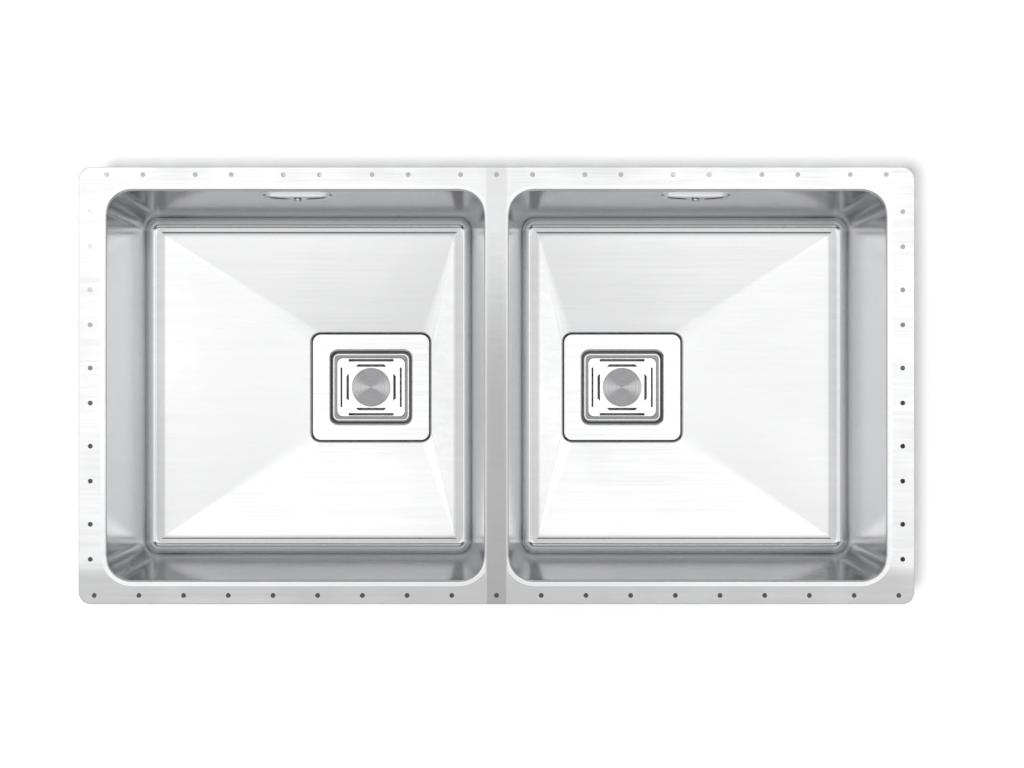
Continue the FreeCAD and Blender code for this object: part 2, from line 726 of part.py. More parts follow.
def make_basket(name, side):
    """A pressed steel basket with a rim, drilled floor and slotted walls."""
    body = drain_body(f"strainer_basket_{name}", side)
    wide = f"({lower_wide} - 2 * basket_play)"
    deep = f"({lower_deep} - 2 * basket_play)"
    corner = f"({lower_corner} - basket_play)"
    rim = sketch_on(body, "Rim", lift=basket_rim)
    rounded(rim, "well_wide - 2 * rim_play", "well_deep - 2 * rim_play", "well_corner - rim_play")
    grow(body, "RimPad", rim, "sheet")
    tub = sketch_on(body, "Tub", lift=basket_rim)
    rounded(tub, wide, deep, corner)
    grow(body, "TubPad", tub, f"{basket_rim} - {basket_floor}", back=True)
    round_edges(body, "TubBend", "2 * sheet", at_level(basket_floor))
    room = sketch_on(body, "Room", lift=f"{basket_rim} + sheet")
    rounded(room, f"{wide} - 2 * sheet", f"{deep} - 2 * sheet", f"{corner} - sheet")
    cut(body, "RoomCut", room, f"{basket_rim} - {basket_floor}")
    round_edges(body, "RoomBend", "sheet", at_level(f"{basket_floor} + sheet"))
    stem = sketch_on(body, "StemHole", lift=f"{basket_floor} + sheet")
    circle(stem, "stem_round + stem_play")
    cut(body, "StemCut", stem, "sheet")
    drill = sketch_on(body, "Drill", lift=f"{basket_floor} + sheet")
    circle(drill, "basket_hole", "-hole_steps_x / 2 * basket_pitch", "-hole_steps_y / 2 * basket_pitch")
    first_hole = cut(body, "DrillCut", drill, "sheet")
    grid = repeat(body, "FloorGrid", [first_hole], "X_Axis", "hole_steps_x", "basket_pitch")
    grid.Direction2 = (origin_part(body, "Y_Axis"), [""])
    bind(grid, "Length2", "hole_steps_y * basket_pitch")
    bind(grid, "Occurrences2", "hole_steps_y + 1")
    middle = f"({basket_rim} + {basket_floor}) / 2"
    walls = [
        # name, sketch plane, axis of the row, steps, reach of the cut
        ("Long", "XZ_Plane", "X_Axis", "slot_steps_x", deep),
        ("Short", "YZ_Plane", "Y_Axis", "slot_steps_y", wide),
    ]
    for wall_name, plane, axis, steps, reach in walls:
        start = f"-{steps} / 2 * basket_slot_pitch"
        slot = sketch_on(body, f"{wall_name}Slot", across=start, along=middle, plane=plane)
        rounded(slot, "basket_slot_wide", "basket_slot_tall", "basket_slot_round")
        cutter = cut(body, f"{wall_name}SlotCut", slot, f"{reach} + 2 * overrun", both=True)
        repeat(body, f"{wall_name}Slots", [cutter], axis, steps, "basket_slot_pitch")
        doc.recompute()


def make_knob(name, side):
    """The lifting knob. Its stem goes down through the basket and the seal to a rivet head."""
    foot = f"({basket_floor} + sheet)"
    top = f"({foot} + knob_tall)"
    under_seal = f"({basket_floor} - seal_thick - seal_cup_tall)"
    turned(f"basket_knob_{name}", side, [
        ("0", f"{under_seal} - rivet_tall"), ("rivet_round", f"{under_seal} - rivet_tall"),
        ("rivet_round", under_seal), ("stem_round", under_seal), ("stem_round", foot), ("knob_round", foot),
        ("knob_round * knob_waist_share", f"{foot} + knob_tall / 2"), ("knob_round", f"{top} - knob_head_tall"),
        ("knob_head", f"{top} - knob_head_tall * knob_flare_share"), ("knob_head", f"{top} - sheet / 2"),
        ("knob_head - sheet", top), ("0", top)])


def make_seal(name, side):
    """The rubber plug seal under the basket, over the neck of the waste flange."""
    foot = f"({basket_floor} - seal_thick - seal_cup_tall)"
    turned(f"plug_seal_{name}", side, [
        ("stem_round + stem_play", foot), ("seal_cup_round * seal_foot_share", foot),
        ("seal_cup_round", f"{foot} + seal_cup_tall"),
        ("seal_round", f"{foot} + seal_cup_tall"), ("seal_round", f"{basket_floor} - seal_thick / 2"),
        ("seal_cup_round", basket_floor), ("stem_round + stem_play", basket_floor)])


def make_lid(name, side):
    """The strainer lid: a pressed tray with a bead, a groove and eight slots round a seat for the disc."""
    body = drain_body(f"strainer_lid_{name}", side)
    wide = "(well_wide - 2 * lid_play)"
    deep = "(well_deep - 2 * lid_play)"
    corner = "(well_corner - lid_play)"
    field_wide = f"({wide} - 2 * (bead_wide + groove_wide))"
    field_deep = f"({deep} - 2 * (bead_wide + groove_wide))"
    block = sketch_on(body, "Block", lift=lid_foot)
    rounded(block, wide, deep, corner)
    grow(body, "BlockPad", block, "lid_tall")
    round_edges(body, "BeadEdge", "bead_wide / 2", at_level(lid_level))
    hollow = sketch_on(body, "Hollow", lift=lid_foot)
    rounded(hollow, f"{wide} - 2 * bead_wide", f"{deep} - 2 * bead_wide", f"{corner} - bead_wide")
    cut(body, "HollowCut", hollow, "lid_tall - groove_drop - lid_sheet", back=True)
    groove = sketch_on(body, "Groove", lift=lid_level)
    rounded(groove, f"{wide} - 2 * bead_wide", f"{deep} - 2 * bead_wide", f"{corner} - bead_wide")
    cut(body, "GrooveCut", groove, "groove_drop")
    floor = sketch_on(body, "Field", lift=f"{lid_level} - groove_drop")
    rounded(floor, field_wide, field_deep, corner)
    grow(body, "FieldPad", floor, "groove_drop - field_drop")
    round_edges(body, "FieldEdge", "(groove_drop - field_drop) * field_round_share", at_level(field_level))
    relief = sketch_on(body, "Relief", lift=f"{lid_level} - groove_drop - lid_sheet")
    rounded(relief, f"{field_wide} - 2 * lid_sheet", f"{field_deep} - 2 * lid_sheet", f"{corner} - lid_sheet")
    cut(body, "ReliefCut", relief, "groove_drop - field_drop", back=True)
    seat = sketch_on(body, "DiscSeat", lift=field_level)
    circle(seat, "disc_round + disc_play")
    cut(body, "DiscSeatCut", seat, "disc_seat")
    slots = [
        # name, long, wide, across, along
        ("OuterRear", "outer_slot_long", "outer_slot_wide", "0", "outer_slot_back"),
        ("OuterFront", "outer_slot_long", "outer_slot_wide", "0", "-outer_slot_back"),
        ("OuterRight", "side_slot_wide", "side_slot_long", "side_slot_out", "0"),
        ("OuterLeft", "side_slot_wide", "side_slot_long", "-side_slot_out", "0"),
    ]
    for slot_name, long, wide, across, along in slots:
        slot = sketch_on(body, f"Slot{slot_name}", lift=f"{field_level} + overrun", across=across, along=along)
        rounded(slot, long, wide, "slot_corner")
        cut(body, f"Slot{slot_name}Cut", slot, "lid_tall + overrun")
    mitred = [
        # name, turned on its side, way out from the middle
        ("Rear", False, 1),
        ("Front", False, -1),
        ("Right", True, 1),
        ("Left", True, -1),
    ]
    for slot_name, upright, way in mitred:
        long = "inner_side_long" if upright else "inner_slot_long"
        deep_slot = "inner_side_wide" if upright else "inner_slot_wide"
        out = "inner_side_out" if upright else "inner_slot_back"
        near = f"{way} * ({out} - {deep_slot} / 2)"
        far = f"{way} * ({out} + {deep_slot} / 2)"
        points = [(f"-{long} / 2", near), (f"{long} / 2", near),
                  (f"{long} / 2 - slot_mitre", far), (f"slot_mitre - {long} / 2", far)]
        if upright:
            points = [(y, x) for x, y in points]
        slot = sketch_on(body, f"Inner{slot_name}", lift=f"{field_level} + overrun")
        outline(slot, points)
        cut(body, f"Inner{slot_name}Cut", slot, "lid_tall + overrun")


def make_disc(name, side):
    """The round disc in the lid: a shallow spun dish with a bevelled edge."""
    low = f"({field_level} - disc_seat)"
    top = f"({low} + disc_thick)"
    turned(f"lid_disc_{name}", side, [
        ("0", low), ("disc_round", low), ("disc_round", f"{top} - disc_dish"), ("disc_round - disc_dish", top),
        ("disc_round - disc_edge", top), ("0", f"{top} - disc_dish")])


def make_overflow_cover(name, side):
    """The bowed cover on the rear wall. Seen from above it is a slim lens."""
    body = new_body(f"overflow_cover_{name}", x=f"{side} * bowl_spacing / 2", y="bowl_deep / 2",
                    turn=(X_AXIS, -value(lean_angle)))
    bow = sketch_on(body, "Bow", lift="-overflow_mid")
    rise = "(trim_proud - trim_edge)"
    bend = f"((trim_wide * trim_wide / 4 + {rise} * {rise}) / (2 * {rise}))"
    half = value("trim_wide / 2")
    edge = value("trim_edge")
    radius = value(bend)
    corners = [V(-half, -edge), V(-half, 0), V(half, 0), V(half, -edge)]
    lines = [bow.addGeometry(Part.LineSegment(corners[index], corners[index + 1])) for index in range(3)]
    swing = math.asin(half / radius)
    round_front = Part.Circle(V(0, radius - value("trim_proud")), V(0, 0, 1), radius)
    arc = bow.addGeometry(Part.ArcOfCircle(round_front, -math.pi / 2 - swing, -math.pi / 2 + swing))
    for index in range(2):
        bow.addConstraint(Sketcher.Constraint("Coincident", lines[index], 2, lines[index + 1], 1))
    bow.addConstraint(Sketcher.Constraint("Coincident", lines[0], 1, arc, 1))
    bow.addConstraint(Sketcher.Constraint("Coincident", lines[2], 2, arc, 2))
    for line, x, y in ((lines[0], "-trim_wide / 2", "-trim_edge"), (lines[1], "-trim_wide / 2", "0"),
                       (lines[2], "trim_wide / 2", "0")):
        fix_point(bow, line, 1, x, y)
    fix_point(bow, lines[2], 2, "trim_wide / 2", "-trim_edge")
    dimension(bow, bend, "Radius", arc)
    grow(body, "BowPad", bow, "trim_tall", both=True)
    trimmer = sketch_on(body, "Face", lift="trim_proud + overrun", along="-overflow_mid", plane="XZ_Plane")
    rounded(trimmer, "trim_wide + 2 * trim_tall", "2 * trim_tall", "trim_corner")
    rounded(trimmer, "trim_wide", "trim_tall", "trim_corner")
    cut(body, "FaceCut", trimmer, "trim_proud + 2 * overrun")
    for slot_name, way in (("Right", 1), ("Left", -1)):
        slot = sketch_on(body, f"Slot{slot_name}", lift="trim_proud + overrun", across=f"{way} * trim_slot_out",
                         along="-overflow_mid", plane="XZ_Plane")
        rounded(slot, "trim_slot_long", "trim_slot_tall", "trim_slot_corner")
        cut(body, f"Slot{slot_name}Cut", slot, "trim_proud + 2 * overrun")
    hole = sketch_on(body, "ScrewHole", lift="trim_proud + overrun", along="-overflow_mid", plane="XZ_Plane")
    circle(hole, "cover_screw + cover_play")
    cut(body, "ScrewHoleCut", hole, "trim_proud + 2 * overrun")


def make_overflow_gasket(name, side):
    body = new_body(f"overflow_gasket_{name}", x=f"{side} * bowl_spacing / 2", y="bowl_deep / 2",
                    turn=(X_AXIS, -value(lean_angle)))
    frame = sketch_on(body, "Frame", lift="-wall", along="-overflow_mid", plane="XZ_Plane")
    rounded(frame, "housing_wide", "housing_tall", "housing_corner")
    shrink = "(2 * housing_rim - gasket_play)"
    rounded(frame, f"housing_wide - {shrink}", f"housing_tall - {shrink}", "housing_corner - gasket_play")
    grow(body, "FramePad", frame, "housing_gasket_thick", back=True)


def make_overflow_housing(name, side):
    """A moulded box behind the rear wall, its front leaning with the wall, with a pipe socket below."""
    body = new_body(f"overflow_housing_{name}", x=f"{side} * bowl_spacing / 2", y="bowl_deep / 2")
    profile = sketch_on(body, "Profile", plane="YZ_Plane")
    outline(profile, [(f"{lean} * {housing_foot} + {wall_run}", housing_foot), (housing_back, housing_foot),
                      (housing_back, housing_top), (f"{lean} * {housing_top} + {wall_run}", housing_top)])
    grow(body, "Box", profile, "housing_wide", both=True)
    socket = sketch_on(body, "Socket", lift=housing_foot, along=pipe_line)
    circle(socket, "socket_round")
    grow(body, "SocketPad", socket, "socket_long", back=True)
    ahead = f"({lean} * overflow_mid + overrun)"
    room = sketch_on(body, "Room", lift=ahead, along="-overflow_mid", plane="XZ_Plane")
    rounded(room, "housing_wide - 2 * housing_rim", "housing_tall - 2 * housing_rim", "housing_corner")
    cut(body, "RoomCut", room, f"{housing_back} - housing_wall + {ahead}")
    face = f"({wall_run} - {lean} * overflow_mid + cover_play)"
    boss = sketch_on(body, "Boss", lift=f"-{face}", along="-overflow_mid", plane="XZ_Plane")
    circle(boss, "cover_boss")
    grow(body, "BossPad", boss, f"{housing_back} - {face}", back=True)
    pilot = sketch_on(body, "Pilot", lift=f"-{face}", along="-overflow_mid", plane="XZ_Plane")
    circle(pilot, "cover_screw + thread_play")
    cut(body, "PilotCut", pilot, "cover_screw_long * pilot_share")
    foot = f"{housing_foot} - socket_long"
    for step, radius, start, length in (
            ("Way", "pipe_bore", foot, "socket_long + 2 * housing_rim"),
            ("Mouth", "pipe_round + socket_play", foot, "socket_depth"),
            ("Groove", "ring_groove", f"{foot} + ring_inset", "ring_groove_long")):
        hole = sketch_on(body, f"Socket{step}", lift=start, along=pipe_line)
        circle(hole, radius)
        cut(body, f"Socket{step}Cut", hole, length, back=True)


def make_cover_screw(name, side):
    """The pan-head screw that pulls the cover and the housing against the rear wall."""
    body = new_body(f"cover_screw_{name}", x=f"{side} * bowl_spacing / 2", y="bowl_deep / 2", z="-overflow_mid")
    under = f"(-{lean} * (overflow_mid + cover_head) - trim_proud / cos({lean_angle}) - thread_play)"
    tip = f"({under} + cover_screw_long)"
    drive = f"({under} - cover_head_tall + drive_drop * cover_drive_share)"
    section = sketch_on(body, "Section")
    outline(section, [
        ("0", drive), ("drive_round", drive), ("drive_round", f"{under} - cover_head_tall"),
        ("cover_head * cover_face_share", f"{under} - cover_head_tall"),
        ("cover_head", f"{under} - cover_head_tall * cover_edge_share"), ("cover_head", under),
        ("cover_screw", under),
        ("cover_screw", f"{tip} - cover_screw * tip_share"), ("cover_screw * tip_share", tip), ("0", tip)])
    spin(body, "Turn", section, "Y_Axis")


def pipe_route(side):
    """The pipe's corners: down behind the bowl, slanting forward under it, then straight into the port."""
    x = side * value("bowl_spacing / 2")
    rear = value(f"bowl_deep / 2 + {pipe_line}")
    top = value(f"{housing_foot} - socket_long + socket_depth - pipe_play")
    low = value(port_level)
    drain_x = side * value("bowl_spacing / 2 - drain_offset")
    mouth = value("port_reach - drain_forward")
    end = mouth - value("socket_depth - pipe_play")
    return [V(x, rear, top), V(x, rear, low), V(drain_x, mouth + value("port_run"), low), V(drain_x, end, low)]


def bent_wire(corners, radii):
    """Straight runs joined by tangent arcs."""
    edges = []
    start = corners[0]
    for before, corner, after, radius in zip(corners, corners[1:], corners[2:], radii):
        back = (before - corner).normalize()
        ahead = (after - corner).normalize()
        half = math.acos(-back.dot(ahead)) / 2
        run = radius * math.tan(half)
        first = corner + back * run
        last = corner + ahead * run
        inward = (back + ahead).normalize()
        middle = corner + inward * (radius / math.cos(half) - radius)
        edges += [Part.LineSegment(start, first).toShape(), Part.Arc(first, middle, last).toShape()]
        start = last
    edges.append(Part.LineSegment(start, corners[-1]).toShape())
    return Part.Wire(edges)


def make_pipe(name, side):
    corners = pipe_route(side)
    path = bent_wire(corners, [value("pipe_bend"), value("port_bend")])
    solids = []
    for radius in (value("pipe_round"), value("pipe_bore")):
        section = Part.Wire([Part.Circle(corners[0], V(0, 0, 1), radius).toShape()])
        solids.append(path.makePipeShell([section], True, False))
    pipe = doc.addObject("Part::Feature", f"overflow_pipe_{name}")
    pipe.Label = f"overflow_pipe_{name}"
    pipe.Shape = solids[0].cut(solids[1])
    pipe.Placement = FreeCAD.Placement()
    area = math.pi * (value("pipe_round") ** 2 - value("pipe_bore") ** 2)
    print(pipe.Label, "volume against section times length:", round(pipe.Shape.Volume / (area * path.Length), 4))
    parts.append(pipe)


def make_pipe_rings(name, side):
    """Two square-section sealing rings, one in each socket's groove."""
    corners = pipe_route(side)
    foot = value(f"{housing_foot} - socket_long + ring_inset")
    mouth = value("port_reach - drain_forward - ring_inset")
    places = [
        (V(corners[0].x, corners[0].y, foot), V(0, 0, 1)),
        (V(corners[3].x, mouth, corners[3].z), V(0, -1, 0)),
    ]
    rings = []
    for index, (place, way) in enumerate(places):
        shapes = []
        for role, radius, height in (("Outside", "ring_groove - ring_play", "ring_groove_long - ring_play"),
                                     ("Inside", "pipe_round + ring_inner_play", "ring_groove_long")):
            cylinder = doc.addObject("Part::Cylinder", f"Ring{role}_{name}_{index}")
            bind(cylinder, "Radius", radius)
            bind(cylinder, "Height", height)
            cylinder.Placement = FreeCAD.Placement(place, FreeCAD.Rotation(V(0, 0, 1), way))
            shapes.append(cylinder)
        band = doc.addObject("Part::Cut", f"Ring_{name}_{index}")
        band.Base, band.Tool = shapes
        rings.append(band)
    pair = doc.addObject("Part::Compound", f"pipe_rings_{name}")
    pair.Label = f"pipe_rings_{name}"
    pair.Links = rings
    parts.append(pair)


sides = [("left", -1), ("right", 1)]
make_deck()
for name, side in sides:
    make_bowl(name, side)
    make_pads(name, side)
    make_waste_flange(name, side)
    make_gaskets(name, side)
    make_waste_body(name, side)
    make_clamp_screw(name, side)
    make_basket(name, side)
    make_knob(name, side)
    make_seal(name, side)
    make_lid(name, side)
    make_disc(name, side)
    make_overflow_cover(name, side)
    make_overflow_gasket(name, side)
    make_overflow_housing(name, side)
    make_cover_screw(name, side)
    make_pipe(name, side)
    make_pipe_rings(name, side)
doc.recompute()

for thing in doc.Objects:
    if "Invalid" in thing.State or "Error" in thing.State:
        raise RuntimeError(f"{thing.Label} ({thing.Name}): {thing.State}")
for part in parts:
    if part.Shape.isNull() or not part.Shape.isValid():
        raise RuntimeError(f"{part.Label} has no valid shape")
os.makedirs("parts", exist_ok=True)
for part in parts:
    part.Shape.exportStep(f"parts/{part.Label}.step")
    box = part.Shape.BoundBox
    print(part.Label, len(part.Shape.Solids), "solid", round(part.Shape.Volume), "mm3",
          [round(number, 1) for number in (box.XMin, box.XMax, box.YMin, box.YMax, box.ZMin, box.ZMax)])
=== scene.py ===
import bpy
import bmesh
import math
from mathutils import Matrix, Vector


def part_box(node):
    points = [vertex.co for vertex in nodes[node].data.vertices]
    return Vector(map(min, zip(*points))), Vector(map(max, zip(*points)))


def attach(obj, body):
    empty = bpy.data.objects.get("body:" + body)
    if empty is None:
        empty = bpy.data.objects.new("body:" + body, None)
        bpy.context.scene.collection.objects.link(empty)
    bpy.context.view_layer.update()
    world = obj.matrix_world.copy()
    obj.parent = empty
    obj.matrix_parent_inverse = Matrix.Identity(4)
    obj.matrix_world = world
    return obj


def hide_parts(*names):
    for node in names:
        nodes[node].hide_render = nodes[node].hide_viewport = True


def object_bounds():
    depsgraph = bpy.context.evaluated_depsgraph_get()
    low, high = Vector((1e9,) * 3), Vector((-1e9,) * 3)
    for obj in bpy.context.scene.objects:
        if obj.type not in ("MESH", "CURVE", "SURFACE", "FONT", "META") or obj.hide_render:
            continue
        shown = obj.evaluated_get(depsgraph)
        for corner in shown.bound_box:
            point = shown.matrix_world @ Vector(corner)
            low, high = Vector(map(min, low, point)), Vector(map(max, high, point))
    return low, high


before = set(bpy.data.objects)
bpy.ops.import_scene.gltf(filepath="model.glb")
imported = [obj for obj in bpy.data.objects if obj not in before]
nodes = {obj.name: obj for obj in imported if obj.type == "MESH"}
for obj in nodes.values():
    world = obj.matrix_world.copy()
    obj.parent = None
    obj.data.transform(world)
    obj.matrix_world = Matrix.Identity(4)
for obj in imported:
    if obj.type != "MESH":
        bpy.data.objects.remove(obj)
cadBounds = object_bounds()
print("frame loaded:", len(nodes), "nodes")

scene = bpy.context.scene
scene.view_settings.view_transform = "Standard"
sides = {"left": -1, "right": 1}
mm = 0.001
quarterTurn = math.pi / 2
white = (1.0, 1.0, 1.0, 1.0)

# The camera looks straight down at the strip between the bowls
cameraSet = {
    "place": (0.0015, 0.0005, 2.52),
    "lens": 86.1,
    "sensor": 36,
    "shiftX": 0.0137,
    "shiftY": 0.001,
    "reach": 100,
}
cameraData = bpy.data.cameras.new("topCamera")
cameraData.lens = cameraSet["lens"]
cameraData.sensor_width = cameraSet["sensor"]
cameraData.shift_x = cameraSet["shiftX"]
cameraData.shift_y = cameraSet["shiftY"]
cameraData.clip_end = cameraSet["reach"]
camera = bpy.data.objects.new("topCamera", cameraData)
camera.location = cameraSet["place"]
scene.collection.objects.link(camera)
scene.camera = camera
print("camera set")


# Small helpers for node trees
def addNode(tree, kind, label=None, **settings):
    node = tree.nodes.new(kind)
    if label:
        node.label = label
    for name, setting in settings.items():
        setattr(node, name, setting)
    return node


def feed(tree, socket, source):
    # a source is either another socket or a plain value
    if isinstance(source, bpy.types.NodeSocket):
        tree.links.new(source, socket)
    else:
        socket.default_value = source


def mathNode(tree, operation, *terms):
    node = addNode(tree, "ShaderNodeMath", operation=operation)
    for socket, term in zip(node.inputs, terms):
        feed(tree, socket, term)
    return node.outputs[0]


def vectorNode(tree, operation, *terms):
    node = addNode(tree, "ShaderNodeVectorMath", operation=operation)
    for socket, term in zip(node.inputs, terms):
        feed(tree, socket, term)
    return node


def product(tree, first, *factors):
    for factor in factors:
        first = mathNode(tree, "MULTIPLY", first, factor)
    return first


def greatest(tree, first, *others):
    for other in others:
        first = mathNode(tree, "MAXIMUM", first, other)
    return first


def rampNode(tree, value, low, high, fromLevel=0.0, toLevel=1.0, smooth=True):
    node = addNode(tree, "ShaderNodeMapRange", interpolation_type="SMOOTHSTEP" if smooth else "LINEAR")
    feed(tree, node.inputs["Value"], value)
    feed(tree, node.inputs["From Min"], low)
    feed(tree, node.inputs["From Max"], high)
    feed(tree, node.inputs["To Min"], fromLevel)
    feed(tree, node.inputs["To Max"], toLevel)
    return node.outputs["Result"]


def noiseNode(tree, place, scale, detail, socket="Vector", **settings):
    node = addNode(tree, "ShaderNodeTexNoise", **settings)
    feed(tree, node.inputs[socket], place)
    feed(tree, node.inputs["Scale"], scale)
    feed(tree, node.inputs["Detail"], detail)
    return node


def mixColour(tree, share, first, second):
    node = addNode(tree, "ShaderNodeMix", data_type="RGBA")
    feed(tree, node.inputs[0], share)
    feed(tree, node.inputs[6], first)
    feed(tree, node.inputs[7], second)
    return node.outputs[2]


def rgba(colour, dim=1.0):
    return (colour[0] * dim, colour[1] * dim, colour[2] * dim, 1.0)


def newGroup(name, inputs, outputs):
    tree = bpy.data.node_groups.new(name, "ShaderNodeTree")
    for socketName, kind, default in inputs:
        socket = tree.interface.new_socket(socketName, in_out="INPUT", socket_type=kind)
        if default is not None:
            socket.default_value = default
    for socketName in outputs:
        tree.interface.new_socket(socketName, in_out="OUTPUT", socket_type="NodeSocketFloat")
    return tree, addNode(tree, "NodeGroupInput"), addNode(tree, "NodeGroupOutput")


# Studio light: a long soft box overhead in a dim room, with a pale wall to front and to rear
studioSet = {
    "boxLevel": 1.48,
    "wallLevel": 1.2,
    "roomLevel": 0.05,
    "backdropLevel": 1.0,
    "coolColour": (0.95, 0.97, 1.02),      # the unlit room is a little blue
    # ramps over one part of a direction: start, end, and the level before and after
    "boxDepth": (0.145, 0.24, 1.0, 0.0),   # half the box, from its middle to front and rear
    "boxEnd": (0.58, 0.82, 1.0, 0.1),      # half the box, from its middle to left and right
    "sideDip": (0.33, 0.4, 1.0, 0.55),     # the box dims to left and right
    "sideBack": (0.45, 0.53, 0.0, 1.0),    # and is bright again near its ends
    "gap": (0.005, 0.03, 0.52, 1.0),       # the gap that the camera looks through
    "frontDip": (-0.13, 0.05, 0.74, 1.0),  # the box is a little dimmer towards the front
    "boxFoot": (-0.05, 0.1, 0.0, 1.0),     # the box is only above
    "wallHead": (0.34, 0.41, 0.0, 1.0),    # the walls start outside the box
    "wallEnd": (0.22, 0.42, 1.0, 0.0),
    "wallFoot": (0.43, 0.52, 1.0, 0.25),
    "horizon": (0.5, 0.77, 0.6, 0.0),      # low down the room is pale all round
    "coolFade": (0.2, 1.0, 0.0, 1.0),      # from the cool colour to white, over the level
}


def studioLevel(tree, look):
    # how bright the studio is in each direction
    split = addNode(tree, "ShaderNodeSeparateXYZ")
    feed(tree, split.inputs[0], addNode(tree, "ShaderNodeTexCoord").outputs["Generated"])
    across = mathNode(tree, "ABSOLUTE", split.outputs["X"])
    along = mathNode(tree, "ABSOLUTE", split.outputs["Y"])
    sideShare = greatest(tree, rampNode(tree, across, *look["sideDip"]),
                         rampNode(tree, across, *look["sideBack"]))
    ends = product(tree, rampNode(tree, across, *look["boxEnd"]), sideShare)
    middle = product(tree, rampNode(tree, across, *look["gap"]),
                     rampNode(tree, split.outputs["Y"], *look["frontDip"]))
    box = product(tree, rampNode(tree, along, *look["boxDepth"]), ends, middle,
                  rampNode(tree, split.outputs["Z"], *look["boxFoot"]))
    walls = product(tree, rampNode(tree, along, *look["wallHead"]), rampNode(tree, across, *look["wallEnd"]),
                    rampNode(tree, along, *look["wallFoot"]))
    room = mathNode(tree, "MULTIPLY_ADD", walls, look["wallLevel"] - look["roomLevel"], look["roomLevel"])
    room = greatest(tree, room, rampNode(tree, split.outputs["Z"], *look["horizon"]))
    return mathNode(tree, "ADD", product(tree, box, look["boxLevel"] - look["roomLevel"]), room)


def makeStudio(look):
    world = bpy.data.worlds.new("studio")
    world.use_nodes = True
    scene.world = world
    tree = world.node_tree
    tree.nodes.clear()
    level = studioLevel(tree, look)
    warmth = rampNode(tree, level, *look["coolFade"])
    light = addNode(tree, "ShaderNodeBackground", "light")
    feed(tree, light.inputs["Color"], mixColour(tree, warmth, rgba(look["coolColour"]), white))
    feed(tree, light.inputs["Strength"], level)
    backdrop = addNode(tree, "ShaderNodeBackground", "white backdrop")
    feed(tree, backdrop.inputs["Color"], white)
    feed(tree, backdrop.inputs["Strength"], look["backdropLevel"])
    mix = addNode(tree, "ShaderNodeMixShader")
    feed(tree, mix.inputs[0], addNode(tree, "ShaderNodeLightPath").outputs["Is Camera Ray"])
    feed(tree, mix.inputs[1], light.outputs[0])
    feed(tree, mix.inputs[2], backdrop.outputs[0])
    feed(tree, addNode(tree, "ShaderNodeOutputWorld").inputs["Surface"], mix.outputs[0])


makeStudio(studioSet)

# The lamp gives the floor its shadow; the steel reflects the studio alone
lampSet = {
    "place": (-0.2, -0.13, 3.2),
    "aim": (0, 0, -0.2),
    "size": 0.2,
    "watts": 66.0,
}
lampData = bpy.data.lights.new("keyLamp", "AREA")
lampData.shape = "DISK"
lampData.size = lampSet["size"]
lampData.energy = lampSet["watts"]
lamp = bpy.data.objects.new("keyLamp", lampData)
lamp.location = lampSet["place"]
lamp.rotation_euler = (Vector(lampSet["aim"]) - lamp.location).to_track_quat("-Z", "Y").to_euler()
lamp.visible_glossy = False
scene.collection.objects.link(lamp)
print("studio lit")

# Effects that several materials share
effectSet = {
    "grainTone": (0.35, 0.65),    # the part of the noise that spreads to a tone from 0 to 1
    "fineShare": 0.65,
    "fineDetail": 3.0,
    "broadShare": 0.35,
    "broadScale": 0.12,
    "broadDetail": 2.0,
    "smudgeMiddle": 0.5,
    "smudgeDetail": 4.0,
    "smudgeDistortion": 0.4,
    "ringDetail": 2.0,
    "skinDetail": 3.0,
    "skinCloud": 0.02,            # the scale of the skin's clouds, as a share of its grain's
}


def makeFineGrain(look):
    # long fine scratches along one axis of the vector; Along and Across are lines per metre
    tree, enter, leave = newGroup("fineGrain", [
        ("Vector", "NodeSocketVector", None),
        ("Along", "NodeSocketFloat", 12.0),
        ("Across", "NodeSocketFloat", 1600.0),
    ], ["Height", "Tone"])
    stretch = addNode(tree, "ShaderNodeCombineXYZ")
    for socket, source in zip(stretch.inputs, ("Along", "Across", "Across")):
        feed(tree, socket, enter.outputs[source])
    scaled = vectorNode(tree, "MULTIPLY", enter.outputs["Vector"], stretch.outputs[0]).outputs[0]
    fine = noiseNode(tree, scaled, 1.0, look["fineDetail"])
    broad = noiseNode(tree, scaled, look["broadScale"], look["broadDetail"])
    both = mathNode(tree, "ADD", product(tree, fine.outputs[0], look["fineShare"]),
                    product(tree, broad.outputs[0], look["broadShare"]))
    feed(tree, leave.inputs["Height"], both)
    feed(tree, leave.inputs["Tone"], rampNode(tree, both, *look["grainTone"]))
    return tree


def makeSmudge(look):
    # broad soft patches of handling, from 0 to 1
    tree, enter, leave = newGroup("softSmudge", [
        ("Vector", "NodeSocketVector", None),
        ("Scale", "NodeSocketFloat", 9.0),
        ("Spread", "NodeSocketFloat", 0.2),
    ], ["Mask"])
    cloud = noiseNode(tree, enter.outputs["Vector"], enter.outputs["Scale"], look["smudgeDetail"])
    cloud.inputs["Distortion"].default_value = look["smudgeDistortion"]
    low = mathNode(tree, "SUBTRACT", look["smudgeMiddle"], enter.outputs["Spread"])
    high = mathNode(tree, "ADD", look["smudgeMiddle"], enter.outputs["Spread"])
    feed(tree, leave.inputs["Mask"], rampNode(tree, cloud.outputs[0], low, high))
    return tree


